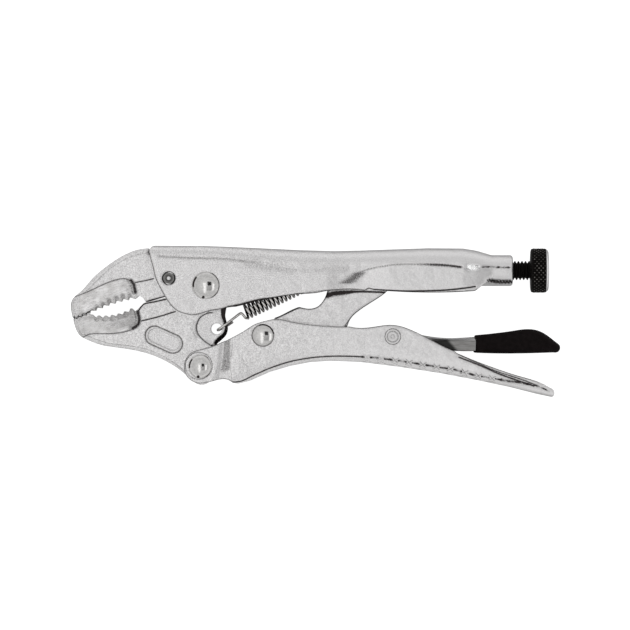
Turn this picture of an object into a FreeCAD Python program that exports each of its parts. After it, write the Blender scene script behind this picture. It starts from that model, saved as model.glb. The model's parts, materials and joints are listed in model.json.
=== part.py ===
import FreeCAD, Part
import math
import os
import Sketcher
from FreeCAD import Placement, Rotation, Vector

# Curved-jaw locking pliers, lying on their side. X runs from the nose to the knob, Y across
# the handles, and Z is the thickness. Every piece is drawn about the main pivot, on the
# middle plane of the sheet metal, and each node's Placement then moves it into the row's
# frame: the middle of the outline in X and Y, with z = 0 on the surface that it lies on.

DRIVING_SIZES = [
    # the frame
    ("shift_x", -57.19),
    ("shift_y", 18.73),
    ("rest_height", 11.55),
    # sheet metal of the handles
    ("sheet_metal", 2.2),
    ("front_half_width", 8.8),
    ("rear_half_width", 9.6),
    ("front_crown_radius", 5.2),
    ("middle_crown_radius", 8.4),
    ("rear_crown_radius", 9.0),
    ("lower_crown_radius", 3.4),
    ("barrel_radius", 8.05),
    ("barrel_start", 138.0),
    ("barrel_end", 159.8),
    ("barrel_edge", 0.9),
    ("side_cut_width", 30.0),
    # pivots, from the main pivot
    ("jaw_pin_x", -19.2),
    ("jaw_pin_y", 3.7),
    ("handle_pivot_x", -2.86),
    ("handle_pivot_y", -42.17),
    ("link_pivot_x", 29.74),
    ("link_pivot_y", -26.0),
    ("lever_pivot_x", 97.2),
    ("lever_pivot_y", -26.6),
    ("screw_axis_y", 7.75),
    # jaws
    ("jaw_thickness", 12.7),
    ("pad_recess", 0.45),
    ("web_recess", 0.9),
    ("tongue_thickness", 6.4),
    ("fork_slot", 6.8),
    ("tongue_radius", 12.0),
    ("tongue_shoulder_radius", 12.3),
    ("fork_radius", 11.8),
    ("fork_slot_radius", 12.5),
    ("spring_hole_radius", 2.9),
    # rivets and pins
    ("running_clearance", 0.05),
    ("main_rivet_radius", 4.5),
    ("main_head_radius", 7.25),
    ("knuckle_rivet_radius", 3.8),
    ("knuckle_head_radius", 6.2),
    ("link_rivet_radius", 3.6),
    ("link_head_radius", 5.95),
    ("lever_rivet_radius", 3.0),
    ("lever_head_radius", 4.25),
    ("head_rise", 2.4),
    ("low_head_rise", 1.8),
    ("rolled_head_rise", 1.1),
    ("rivet_recess_radius", 2.5),
    ("jaw_pin_radius", 3.2),
    ("jaw_pin_dish_depth", 1.1),
    ("jaw_pin_dish_floor", 1.1),
    # toggle link, release lever and sleeve
    ("link_thickness", 10.4),
    ("lever_thickness", 10.0),
    ("lever_wall", 1.8),
    ("sleeve_thickness", 12.6),
    # adjusting screw and knob
    ("screw_radius", 4.95),
    ("screw_clearance", 0.09),
    ("screw_tip_x", 100.9),
    ("knob_start", 169.1),
    ("knob_end", 178.4),
    ("knob_radius", 11.55),
    ("knob_front_chamfer", 0.8),
    ("knob_rear_chamfer", 1.6),
    ("knob_disc_radius", 4.8),
    ("knob_disc_depth", 0.5),
    ("spigot_radius", 3.0),
    ("spigot_length", 6.0),
    # spring
    ("spring_wire_radius", 0.52),
    ("spring_coil_radius", 3.78),
    ("spring_turns", 15),
    ("spring_pitch", 2.5),
    ("hook_radius", 4.0),
    ("rear_hook_radius", 3.5),
    ("spring_slope", 25.2),
    ("spring_start_x", 18.6),
    ("spring_start_y", -14.6),
    ("tab_x", 60.0),
    ("tab_width", 5.0),
    ("tab_end_y", 1.2),
]

doc = FreeCAD.newDocument("locking_pliers")
sheet = doc.addObject("Spreadsheet::Sheet", "Sizes")
for row, (alias, value) in enumerate(DRIVING_SIZES, start=1):
    sheet.set(f"A{row}", alias)
    sheet.set(f"B{row}", str(value))
    sheet.setAlias(f"B{row}", alias)
doc.recompute()


def size(alias):
    """A driving size, as the sheet holds it."""
    return float(sheet.get(alias))


def bind(thing, prop, expression):
    """Bind a property to the sheet; expression names aliases as Sizes.alias."""
    thing.setExpression(prop, expression)


def new_body(name):
    return doc.addObject("PartDesign::Body", name)


def new_sketch(body, name, plane="XY_Plane", offset=0.0):
    """A sketch on one of the body's own origin planes, moved along the plane's normal."""
    sketch = body.newObject("Sketcher::SketchObject", name)
    support = next(f for f in body.Origin.OriginFeatures if f.Role == plane)
    sketch.AttachmentSupport = [(support, "")]
    sketch.MapMode = "FlatFace"
    sketch.AttachmentOffset = Placement(Vector(0, 0, offset), Rotation())
    return sketch


def flat(point):
    return Vector(point[0], point[1], 0)


def draw(sketch, start, steps):
    """Draw a closed outline. A step is a point (a line), ("arc", via, end) or ("curve", points)."""
    here = start
    for step in steps:
        if step[0] == "arc":
            sketch.addGeometry(Part.Arc(flat(here), flat(step[1]), flat(step[2])), False)
            here = step[2]
        elif step[0] == "curve":
            curve = Part.BSplineCurve()
            curve.interpolate([flat(p) for p in [here] + step[1]])
            sketch.addGeometry(curve, False)
            here = step[1][-1]
        else:
            sketch.addGeometry(Part.LineSegment(flat(here), flat(step)), False)
            here = step
    if math.dist(here, start) > 1e-9:
        sketch.addGeometry(Part.LineSegment(flat(here), flat(start)), False)


def draw_hole(sketch, centre, radius_expression, radius):
    """A circle whose radius is bound to the sheet."""
    circle = sketch.addGeometry(Part.Circle(flat(centre), Vector(0, 0, 1), radius), False)
    constraint = sketch.addConstraint(Sketcher.Constraint("Radius", circle, radius))
    sketch.setExpression(f"Constraints[{constraint}]", radius_expression)


def pad(body, sketch, name, thickness):
    """A pad on both sides of the middle plane."""
    feature = body.newObject("PartDesign::Pad", name)
    feature.Profile = sketch
    feature.SideType = "Symmetric"
    bind(feature, "Length", thickness)
    return feature


def recess(body, name, depth, start, steps, from_z="Sizes.jaw_thickness / 2"):
    """The same pocket in both faces of a body, down to a depth below from_z."""
    for side, word in ((1, "front"), (-1, "back")):
        sketch = new_sketch(body, f"{name}_{word}_sketch")
        bind(sketch, "AttachmentOffset.Base.z", f"{side} * ({from_z} - {depth})")
        draw(sketch, start, steps)
        pocket = body.newObject("PartDesign::Pocket", f"{name}_{word}")
        pocket.Profile = sketch
        pocket.Reversed = side > 0
        bind(pocket, "Length", f"{depth} + 1")


def turned(body, name, kind, points, plane="XZ_Plane", axis="V_Axis"):
    """Revolve or groove a closed profile of (expression, expression) points about an axis."""
    sketch = new_sketch(body, f"{name}_sketch", plane)
    spots = [Vector(evaluate(x), evaluate(y), 0) for x, y in points]
    count = len(spots)
    for i in range(count):
        sketch.addGeometry(Part.LineSegment(spots[i], spots[(i + 1) % count]), False)
    for i in range(count):
        sketch.addConstraint(Sketcher.Constraint("Coincident", i, 2, (i + 1) % count, 1))
    for i, (x, y) in enumerate(points):
        for word, expression, value in (("DistanceX", x, spots[i].x), ("DistanceY", y, spots[i].y)):
            if abs(value) < 1e-9:
                other = "PointOnObject"
                line = -2 if word == "DistanceX" else -1
                sketch.addConstraint(Sketcher.Constraint(other, i, 1, line))
                continue
            n = sketch.addConstraint(Sketcher.Constraint(word, -1, 1, i, 1, value))
            sketch.setExpression(f"Constraints[{n}]", expression)
    feature = body.newObject(f"PartDesign::{kind}", name)
    feature.Profile = sketch
    feature.ReferenceAxis = (sketch, [axis])
    feature.Angle = 360
    return feature


def evaluate(expression):
    """The value that an expression over the sheet has now."""
    return float(sheet.evalExpression(expression.replace("Sizes.", "")))


def place(thing, label, x="0", y="0"):
    """Name a node and put it in the row's frame, at x and y from the main pivot."""
    thing.Label = label
    bind(thing, "Placement.Base.x", f"Sizes.shift_x + {x}")
    bind(thing, "Placement.Base.y", f"Sizes.shift_y + {y}")
    bind(thing, "Placement.Base.z", "Sizes.rest_height")
    return thing


def joined(kind, name, things):
    """A Part boolean of several things; a cut takes the others out of the first."""
    whole = doc.addObject(f"Part::{kind}", name)
    if kind in ("Cut", "Common"):
        whole.Base, whole.Tool = things
    else:
        whole.Shapes = things
    return whole


def cylinder(name, radius, height):
    tube = doc.addObject("Part::Cylinder", name)
    bind(tube, "Radius", radius)
    bind(tube, "Height", height)
    return tube


# ---------------------------------------------------------------- folded channels


def channel_section(body, name, x, half_width, crown_y, radius, open_y):
    """One cross-section of a folded channel at x, whose crown is at crown_y and whose
    two walls end at open_y."""
    sketch = new_sketch(body, name, "YZ_Plane", x)
    metal = size("sheet_metal")
    up = 1 if crown_y > open_y else -1
    bend = crown_y - up * radius
    inner = half_width - metal
    diagonal = math.sqrt(0.5)

    def corner(arc_radius, z_sign):
        """The middle of a bend's arc."""
        return (bend + up * arc_radius * diagonal, z_sign * (half_width - radius + arc_radius * diagonal))

    draw(
        sketch,
        (open_y, -half_width),
        [
            (bend, -half_width),
            ("arc", corner(radius, -1), (crown_y, radius - half_width)),
            (crown_y, half_width - radius),
            ("arc", corner(radius, 1), (bend, half_width)),
            (open_y, half_width),
            (open_y, inner),
            (bend, inner),
            ("arc", corner(radius - metal, 1), (crown_y - up * metal, half_width - radius)),
            (crown_y - up * metal, radius - half_width),
            ("arc", corner(radius - metal, -1), (bend, -inner)),
            (open_y, -inner),
        ],
    )
    return sketch


def channel(name, stations, open_y, side):
    """A folded channel through its stations, cut to its side outline.

    Each station is (x, half width, crown y, crown radius); side draws the outline."""
    shell = new_body(f"{name}_shell")
    sections = [
        channel_section(shell, f"{name}_section_{i}", x, half, crown, radius, open_y)
        for i, (x, half, crown, radius) in enumerate(stations)
    ]
    doc.recompute()
    loft = shell.newObject("PartDesign::AdditiveLoft", f"{name}_loft")
    loft.Profile = sections[0]
    loft.Sections = sections[1:]
    loft.Ruled = True
    outline = new_body(f"{name}_side")
    sketch = new_sketch(outline, f"{name}_side_sketch")
    side(sketch)
    pad(outline, sketch, f"{name}_side_pad", "Sizes.side_cut_width")
    return joined("Common", f"{name}_channel", [shell, outline])


# ---------------------------------------------------------------- upper handle


def upper_handle_side(sketch):
    """The fixed handle seen from the side; its top is left open, for the crown."""
    draw(
        sketch,
        (-27.2, 26.0),
        [
            (-27.2, 20.6),
            ("curve", [(-28.9, 19.3), (-29.3, 16.8), (-27.9, 11.0), (-26.2, 4.1), (-23.1, -2.5),
                       (-19.0, -9.2), (-14.4, -13.5), (-7.2, -14.9), (2.1, -12.6), (15.2, -10.1)]),
            ("curve", [(28.2, -8.3), (49.0, -5.5), (59.4, -4.5), (67.2, -2.6), (75.0, -2.1), (82.7, -2.8)]),
            (84.6, -1.6),
            (87.5, -2.4),
            ("curve", [(106.0, -3.5), (121.8, -3.7), (140.0, -2.9)]),
            (149.0, 4.0),
            (149.0, 26.0),
        ],
    )
    draw_hole(sketch, (0, 0), "Sizes.main_rivet_radius", size("main_rivet_radius"))
    pin = (size("jaw_pin_x"), size("jaw_pin_y"))
    draw_hole(sketch, pin, "Sizes.jaw_pin_radius", size("jaw_pin_radius"))


def fixed_handle():
    front, rear = size("front_half_width"), size("rear_half_width")
    small, middle, large = [size(f"{part}_crown_radius") for part in ("front", "middle", "rear")]
    barrel = size("barrel_radius")
    axis_y = size("screw_axis_y")
    stations = [
        (-32.0, front, 20.7, small),
        (0.0, front, 20.5, small),
        (12.0, front, 20.1, small + 0.8),
        (28.0, front, 19.4, middle - 0.6),
        (49.0, front, 18.4, middle),
        (67.0, front, 17.9, middle),
        (81.0, front, 18.2, middle),
        (95.0, rear, 18.7, large - 0.6),
        (116.0, rear, 19.4, large),
        (134.0, rear, 19.25, large),
        (141.0, rear - 0.5, 18.1, large - 0.3),
        (148.8, barrel, axis_y + barrel, barrel - 0.1),
    ]
    walls = channel("fixed_handle", stations, -20.0, upper_handle_side)
    tube = cylinder("barrel", "Sizes.barrel_radius", "Sizes.barrel_end - Sizes.barrel_start")
    along_x = Rotation(Vector(0, 1, 0), 90)
    tube.Placement = Placement(Vector(size("barrel_start"), axis_y, 0), along_x)
    bind(tube, "Placement.Base.x", "Sizes.barrel_start")
    bind(tube, "Placement.Base.y", "Sizes.screw_axis_y")
    tab = doc.addObject("Part::Box", "spring_tab")
    bind(tab, "Length", "Sizes.sheet_metal")
    bind(tab, "Width", "17 - Sizes.tab_end_y")
    bind(tab, "Height", "Sizes.tab_width")
    bind(tab, "Placement.Base.x", "Sizes.tab_x - Sizes.sheet_metal / 2")
    bind(tab, "Placement.Base.y", "Sizes.tab_end_y")
    bind(tab, "Placement.Base.z", "-Sizes.tab_width / 2")
    doc.recompute()
    rim = max(
        (i for i, e in enumerate(tube.Shape.Edges, start=1) if e.Closed),
        key=lambda i: tube.Shape.Edges[i - 1].CenterOfMass.x,
    )
    bevelled = doc.addObject("Part::Chamfer", "barrel_bevelled")
    bevelled.Base = tube
    bevelled.Edges = [(rim, size("barrel_edge"), size("barrel_edge"))]
    whole = joined("MultiFuse", "fixed_handle_solid", [walls, bevelled, tab])
    bore = cylinder("barrel_bore", "Sizes.screw_radius + Sizes.screw_clearance", "40")
    bore.Placement = Placement(Vector(size("barrel_start") - 4.0, axis_y, 0), along_x)
    bind(bore, "Placement.Base.y", "Sizes.screw_axis_y")
    return place(joined("Cut", "fixed_handle_cut", [whole, bore]), "fixed_handle")


# ---------------------------------------------------------------- lower handle


def lower_handle_side(sketch):
    """The lower handle seen from the side: an ear, then a channel that opens upwards."""
    draw(
        sketch,
        (13.4, -50.2),
        [
            ("curve", [(9.6, -48.7), (5.4, -49.3), (0.0, -50.6)]),
            ("arc", (-10.9, -45.2), (-5.6, -34.0)),
            ("curve", [(-1.2, -32.9), (4.1, -31.4), (10.2, -28.5), (17.8, -23.7), (23.0, -20.9),
                       (29.0, -18.7), (36.0, -17.5), (46.3, -19.2), (56.3, -20.6), (75.0, -21.4)]),
            ("curve", [(89.1, -21.3), (97.9, -20.6), (105.2, -22.5), (114.1, -26.7), (129.8, -34.3)]),
            (129.9, -34.9),
            ("curve", [(137.4, -38.1), (152.3, -43.7), (163.2, -47.2), (172.4, -49.9), (179.0, -53.2)]),
            ("arc", (181.4, -56.0), (180.2, -58.4)),
            (180.2, -70.0),
            (13.4, -70.0),
        ],
    )
    for name, hole in (("handle", "knuckle"), ("link", "link"), ("lever", "lever")):
        centre = (size(f"{name}_pivot_x"), size(f"{name}_pivot_y"))
        draw_hole(sketch, centre, f"Sizes.{hole}_rivet_radius", size(f"{hole}_rivet_radius"))


def lower_handle():
    front, rear = size("front_half_width"), size("rear_half_width")
    bend = size("lower_crown_radius")
    stations = [
        (-14.0, front, -62.0, bend),
        (8.4, front, -62.0, bend),
        (12.9, rear, -62.0, bend),
        (13.4, rear, -50.6, bend),
        (16.8, rear, -51.1, bend),
        (23.0, rear, -49.6, bend),
        (33.4, rear, -45.0, bend),
        (43.8, rear, -41.9, bend),
        (54.2, rear, -39.9, bend),
        (64.6, rear, -39.2, bend),
        (80.2, rear, -39.8, bend),
        (101.0, rear, -42.4, bend),
        (121.8, rear, -45.6, bend + 0.4),
        (141.3, rear, -49.3, bend + 1.0),
        (157.8, rear - 0.4, -52.8, bend + 2.0),
        (172.4, rear - 1.4, -56.5, bend + 3.0),
        (182.4, rear - 3.6, -58.6, bend + 2.4),
    ]
    walls = channel("lower_handle", stations, -10.0, lower_handle_side)
    return place(walls, "lower_handle")


# ---------------------------------------------------------------- jaws


def sawtooth(start, via, end, count, depth, lean):
    """Points of a row of teeth whose tips lie on an arc: each tip is followed by a valley,
    lean of a pitch further on and depth to the left of the way along."""
    arc = Part.Arc(flat(start), flat(via), flat(end)).toShape()
    step = arc.Length / count

    def spot(distance):
        at = arc.getParameterByLength(distance)
        return arc.valueAt(at), arc.tangentAt(at)

    points = []
    for i in range(count):
        where, along = spot((i + lean) * step)
        if i:
            tip, _ = spot(i * step)
            points.append((tip.x, tip.y))
        points.append((where.x - depth * along.y, where.y + depth * along.x))
    return points + [end]


def fixed_jaw():
    """The upper jaw, whose tang is a fork round the tongue of the lower jaw."""
    body = new_body("fixed_jaw_body")
    sketch = new_sketch(body, "fixed_jaw_outline")
    fork = size("fork_radius")
    slit = (-11.5, -math.sqrt(fork**2 - 11.5**2))
    draw(
        sketch,
        (-69.1, -17.3),
        sawtooth((-69.1, -17.3), (-64.8, -15.9), (-60.4, -14.8), 4, 0.8, 0.4)
        + sawtooth((-60.4, -14.8), (-48.9, -10.1), (-36.9, -7.1), 7, 1.5, 0.28)
        + [
            (-34.5, -5.2),
            (-30.9, -8.0),
            (-21.9, -5.4),
            slit,
            ("arc", (0.0, -fork), (fork, 0.0)),
            (fork, 8.5),
            ("arc", (9.6, 13.4), (4.6, 15.8)),
            (-29.4, 16.2),
            (-29.6, 18.9),
            ("curve", [(-39.3, 16.5), (-45.9, 13.2), (-52.6, 8.6), (-59.2, 3.0), (-64.8, -3.0),
                       (-69.1, -6.9), (-70.15, -9.8), (-69.9, -13.6), (-69.1, -17.3)]),
        ],
    )
    draw_hole(sketch, (0, 0), "Sizes.main_rivet_radius", size("main_rivet_radius"))
    pin = (size("jaw_pin_x"), size("jaw_pin_y"))
    draw_hole(sketch, pin, "Sizes.jaw_pin_radius", size("jaw_pin_radius"))
    pad(body, sketch, "fixed_jaw_pad", "Sizes.jaw_thickness")
    cheek = [(-60.9, -3.1), (-56.3, -0.7), (-51.6, 1.2), (-47.0, 2.8), (-43.3, 3.5), (-40.3, 3.0),
             (-38.4, 1.3), (-37.2, -0.9), (-36.5, -3.4), (-36.0, -6.0)]
    recess(body, "fixed_pad", "Sizes.pad_recess", (-68.0, -5.9),
           [("curve", cheek), (-33.0, -11.0), (-26.0, -11.0), (-26.0, 24.0), (-68.0, 24.0)])
    recess(body, "fixed_web", "Sizes.web_recess", (-68.0, -4.4),
           [("curve", [(-61.0, -2.1), (-51.8, 2.2), (-47.0, 3.8), (-43.0, 4.5), (-39.8, 4.0), (-37.4, 2.4)]),
            (-26.0, 4.6), (-26.0, 24.0), (-68.0, 24.0)])
    half = "Sizes.fork_slot / 2"
    turned(body, "fork_slot", "Groove",
           [("0", f"-{half}"), ("Sizes.fork_slot_radius", f"-{half}"),
            ("Sizes.fork_slot_radius", half), ("0", half)])
    return place(body, "fixed_jaw")


def lower_jaw():
    """The moving jaw, with a tongue at the main pivot, a knuckle at the handle pivot and an
    ear for the spring between them."""
    body = new_body("lower_jaw_body")
    sketch = new_sketch(body, "lower_jaw_outline")
    tongue = size("tongue_radius")
    slit = (-11.3, -math.sqrt(tongue**2 - 11.3**2))
    neck = (8.2, -math.sqrt(tongue**2 - 8.2**2))
    draw(
        sketch,
        (-68.9, -17.55),
        sawtooth((-68.9, -17.55), (-64.6, -16.15), (-60.2, -15.05), 4, 0.8, 0.4)
        + [(-59.2, -15.1)]
        + sawtooth((-59.2, -15.1), (-49.5, -15.2), (-39.4, -12.0), 6, -1.5, 0.62)
        + [
            (-38.5, -11.9),
            (-37.0, -13.5),
            (-35.6, -12.6),
            (-32.1, -9.0),
            (-21.4, -6.5),
            slit,
            ("arc", (0.0, tongue), neck),
            ("curve", [(8.3, -13.5), (8.7, -16.8), (9.7, -19.3), (10.3, -22.4), (9.3, -25.2), (6.4, -27.8),
                       (4.7, -30.3)]),
            (7.0, -34.5),
            ("arc", (5.2, -47.2), (-1.2, -51.75)),
            ("curve", [(-5.0, -51.0), (-7.7, -49.0), (-12.8, -44.5), (-18.6, -40.6), (-27.0, -36.6),
                       (-36.3, -33.9), (-47.9, -32.1), (-55.4, -30.7), (-61.4, -28.4), (-65.4, -26.1),
                       (-67.4, -23.0), (-68.9, -17.55)]),
        ],
    )
    clear = "Sizes.running_clearance"
    draw_hole(sketch, (0, 0), f"Sizes.main_rivet_radius + {clear}", size("main_rivet_radius"))
    knuckle = (size("handle_pivot_x"), size("handle_pivot_y"))
    draw_hole(sketch, knuckle, f"Sizes.knuckle_rivet_radius + {clear}", size("knuckle_rivet_radius"))
    draw_hole(sketch, (5.6, -22.6), "Sizes.spring_hole_radius", size("spring_hole_radius"))
    pad(body, sketch, "lower_jaw_pad", "Sizes.jaw_thickness")
    cheek = [(-62.4, -26.3), (-59.5, -25.2), (-54.9, -24.9), (-49.8, -25.1), (-44.2, -24.5), (-39.6, -23.4),
             (-36.3, -21.5), (-34.6, -18.6), (-35.0, -15.6), (-36.2, -12.0)]
    recess(body, "lower_pad", "Sizes.pad_recess", (-67.0, -28.0),
           [("curve", cheek), (-34.0, -6.0), (-17.0, -2.0), (-17.0, -14.2), (-13.6, -20.0),
            ("arc", (-9.4, -33.0), (-13.0, -40.0)), (-18.0, -48.0), (-67.0, -48.0)])
    recess(body, "lower_web", "Sizes.web_recess", (-67.0, -29.0),
           [("curve", [(-59.5, -26.2), (-54.9, -25.9), (-49.8, -26.1), (-44.0, -25.5), (-38.8, -24.2),
                       (-35.4, -21.9), (-33.7, -18.6)]),
            (-17.6, -14.6), (-14.4, -20.4), ("arc", (-10.4, -32.6), (-14.0, -39.4)), (-19.0, -48.0),
            (-67.0, -48.0)])
    recess(body, "spring_ear", "(Sizes.jaw_thickness - Sizes.tongue_thickness) / 2", (2.4, -10.0),
           [("curve", [(0.2, -14.4), (-3.0, -16.4), (-4.9, -20.2), (-4.6, -25.0), (-2.1, -28.0), (0.6, -30.0),
                       (4.2, -31.8)]),
            (16.0, -31.8), (16.0, -10.0)])
    half = "Sizes.tongue_thickness / 2"
    outside = "Sizes.jaw_thickness"
    for sign, word in (("", "front"), ("-", "back")):
        turned(body, f"tongue_{word}", "Groove",
               [("0", f"{sign}{half}"), ("Sizes.tongue_shoulder_radius", f"{sign}{half}"),
                ("Sizes.tongue_shoulder_radius", f"{sign}{outside}"), ("0", f"{sign}{outside}")])
    return place(body, "lower_jaw")


# ---------------------------------------------------------------- rivets and the pin


def rivet(label, shank, head, face, rise, recess_radius=None, x="0", y="0"):
    """A rivet through a pair of walls whose outer faces are at plus and minus face. Its head
    is rounded in front. It is flat at the back, down to the surface that the pliers lie on,
    unless it has a rolled, hollow head."""
    body = new_body(f"{label}_body")
    back = "Sizes.rest_height" if recess_radius is None else f"({face} + {rise})"
    top = f"({face} + {rise})"
    profile = [("0", f"-{back}"), (head, f"-{back}"), (head, f"-{face}"), (shank, f"-{face}"),
               (shank, face), (head, face), (head, top), ("0", top)]
    if recess_radius:
        profile[-1:] = [(recess_radius, top), (recess_radius, f"({top} - 1.6)"), ("0", f"({top} - 1.6)")]
    turned(body, f"{label}_turned", "Revolution", profile)
    doc.recompute()
    shape = body.Shape
    head_radius = evaluate(head)
    edges = [
        f"Edge{i}"
        for i, e in enumerate(shape.Edges, start=1)
        if e.Closed and e.CenterOfMass.z > evaluate(top) - 1e-3
        and abs(e.Length - 2 * math.pi * head_radius) < 1e-3
    ]
    solid = body.Tip
    fillet = body.newObject("PartDesign::Fillet", f"{label}_dome")
    fillet.Base = (solid, edges)
    bind(fillet, "Radius", f"{rise} * 0.85")
    return place(body, label, x, y)


def rivets():
    front, rear = "Sizes.front_half_width", "Sizes.rear_half_width"
    nodes = [rivet("main_pivot_rivet", "Sizes.main_rivet_radius", "Sizes.main_head_radius", front,
                   "Sizes.head_rise")]
    nodes.append(rivet("jaw_handle_rivet", "Sizes.knuckle_rivet_radius", "Sizes.knuckle_head_radius", front,
                       "Sizes.head_rise", None, "Sizes.handle_pivot_x", "Sizes.handle_pivot_y"))
    nodes.append(rivet("link_rivet", "Sizes.link_rivet_radius", "Sizes.link_head_radius", rear,
                       "Sizes.low_head_rise", None, "Sizes.link_pivot_x", "Sizes.link_pivot_y"))
    nodes.append(rivet("release_lever_rivet", "Sizes.lever_rivet_radius", "Sizes.lever_head_radius", rear,
                       "Sizes.rolled_head_rise", "Sizes.rivet_recess_radius",
                       "Sizes.lever_pivot_x", "Sizes.lever_pivot_y"))
    return nodes


def fixed_jaw_pin():
    """The pin that holds the tang in the handle, with a dished end."""
    body = new_body("fixed_jaw_pin_body")
    face, radius = "Sizes.front_half_width", "Sizes.jaw_pin_radius"
    floor, depth = "Sizes.jaw_pin_dish_floor", "Sizes.jaw_pin_dish_depth"
    turned(body, "jaw_pin_turned", "Revolution",
           [("0", f"-{face}"), (radius, f"-{face}"), (radius, face), (f"({radius} - 0.3)", face),
            (floor, f"({face} - {depth})"), ("0", f"({face} - {depth})")])
    return place(body, "fixed_jaw_pin", "Sizes.jaw_pin_x", "Sizes.jaw_pin_y")


# ---------------------------------------------------------------- link, lever and sleeve


def toggle_link():
    """The link from the lower handle to the end of the screw."""
    body = new_body("toggle_link_body")
    sketch = new_sketch(body, "toggle_link_outline")
    draw(
        sketch,
        (24.9, -33.2),
        [
            ("arc", (21.1, -25.0), (25.4, -18.5)),
            ("curve", [(33.9, -17.4), (37.9, -16.1), (43.5, -13.3), (48.6, -11.2)]),
            ("curve", [(51.4, -11.9), (54.6, -12.1), (58.0, -11.1), (60.8, -8.4), (62.6, -4.9)]),
            ("curve", [(65.4, 0.4), (73.0, 5.0), (84.0, 8.6), (92.0, 10.6)]),
            (96.0, 11.1),
            ("arc", (99.5, 7.75), (97.6, 4.3)),
            ("curve", [(95.6, -1.6), (91.2, -5.6), (85.9, -9.0), (79.9, -13.0), (75.3, -17.4),
                       (73.9, -20.6)]),
            ("curve", [(71.5, -24.0), (64.0, -27.6), (50.0, -30.6), (36.0, -33.4), (24.9, -33.2)]),
        ],
    )
    centre = (size("link_pivot_x"), size("link_pivot_y"))
    hole = "Sizes.link_rivet_radius + Sizes.running_clearance"
    draw_hole(sketch, centre, hole, size("link_rivet_radius"))
    pad(body, sketch, "toggle_link_pad", "Sizes.link_thickness")
    return place(body, "toggle_link")


LEVER_TOP = [(88.0, -24.4), (97.2, -21.9), (106.0, -24.2), (114.5, -26.2), (125.8, -27.4), (137.4, -27.0),
             (150.5, -26.1), (163.0, -24.5), (171.0, -24.5), (177.0, -27.4), (181.6, -31.0)]


def lever_outline(sketch):
    draw(
        sketch,
        (82.0, -29.6),
        [
            ("arc", (79.6, -27.6), (81.4, -25.4)),
            ("curve", LEVER_TOP),
            ("arc", (182.0, -33.2), (179.6, -33.9)),
            ("curve", [(165.0, -34.0), (150.0, -34.0), (130.0, -34.1), (112.0, -32.6), (97.2, -32.0),
                       (82.0, -29.6)]),
        ],
    )


def release_lever():
    """A channel of sheet metal with its back upwards, which turns on its own rivet."""
    body = new_body("release_lever_body")
    sketch = new_sketch(body, "release_lever_outline")
    lever_outline(sketch)
    centre = (size("lever_pivot_x"), size("lever_pivot_y"))
    hole = "Sizes.lever_rivet_radius + Sizes.running_clearance"
    draw_hole(sketch, centre, hole, size("lever_rivet_radius"))
    pad(body, sketch, "release_lever_pad", "Sizes.lever_thickness")
    doc.recompute()
    before = body.Shape.Volume
    inside = new_sketch(body, "release_lever_inside")
    wall = size("lever_wall")
    ceiling = [(x, y - wall) for x, y in LEVER_TOP[1:-1]]
    draw(inside, (90.0, -40.0), [(90.0, -25.6), ("curve", ceiling), (177.0, -40.0)])
    pocket = body.newObject("PartDesign::Pocket", "release_lever_hollow")
    pocket.Profile = inside
    pocket.SideType = "Symmetric"
    bind(pocket, "Length", "Sizes.lever_thickness - 2 * Sizes.lever_wall")
    doc.recompute()
    if body.Shape.Volume > 0.8 * before:
        raise ValueError("the lever's hollow cut nothing")
    return place(body, "release_lever")


def lever_sleeve():
    """The vinyl sleeve that is dipped over the tail of the lever and fills its hollow."""
    body = new_body("lever_sleeve_body")
    sketch = new_sketch(body, "lever_sleeve_outline")
    draw(
        sketch,
        (139.2, -35.0),
        [
            (139.8, -25.9),
            ("curve", [(150.5, -24.9), (159.6, -23.7), (166.0, -22.8), (171.5, -23.1), (176.0, -24.9),
                       (179.7, -27.5), (183.3, -30.3)]),
            ("arc", (184.3, -33.4), (181.1, -34.9)),
            ("curve", [(168.7, -35.3), (150.5, -35.4), (139.2, -35.0)]),
        ],
    )
    pad(body, sketch, "lever_sleeve_pad", "Sizes.sleeve_thickness")
    doc.recompute()
    solid = body.Tip
    rounded = body.newObject("PartDesign::Fillet", "lever_sleeve_round")
    long_edges = [
        f"Edge{i}"
        for i, e in enumerate(body.Shape.Edges, start=1)
        if abs(abs(e.CenterOfMass.z) - size("sleeve_thickness") / 2) < 1e-3 and e.CenterOfMass.x > 140.5
    ]
    rounded.Base = (solid, long_edges)
    rounded.Radius = 1.0
    tail = doc.addObject("PartDesign::Body", "lever_tail_copy")
    tail_sketch = new_sketch(tail, "lever_tail_outline")
    lever_outline(tail_sketch)
    pad(tail, tail_sketch, "lever_tail_pad", "Sizes.lever_thickness")
    return place(joined("Cut", "lever_sleeve_cut", [body, tail]), "lever_sleeve")


# ---------------------------------------------------------------- screw and knob


def adjusting_screw():
    """The threaded shank, as a plain rod of the thread's outer size, with a domed tip and a
    spigot for the knob. The sketch's horizontal axis lies along the screw."""
    body = new_body("adjusting_screw_body")
    radius, tip = "Sizes.screw_radius", "Sizes.screw_tip_x"
    knob, spigot = "Sizes.knob_start", "Sizes.spigot_radius"
    end = f"({knob} + Sizes.spigot_length)"
    turned(body, "screw_turned", "Revolution",
           [(tip, "0"), (tip, "1.6"), (f"({tip} + 1.4)", f"({radius} - 0.9)"), (f"({tip} + 3)", radius),
            (knob, radius), (knob, spigot), (end, spigot), (end, "0")], axis="H_Axis")
    return place(body, "adjusting_screw", "0", "Sizes.screw_axis_y")


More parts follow.
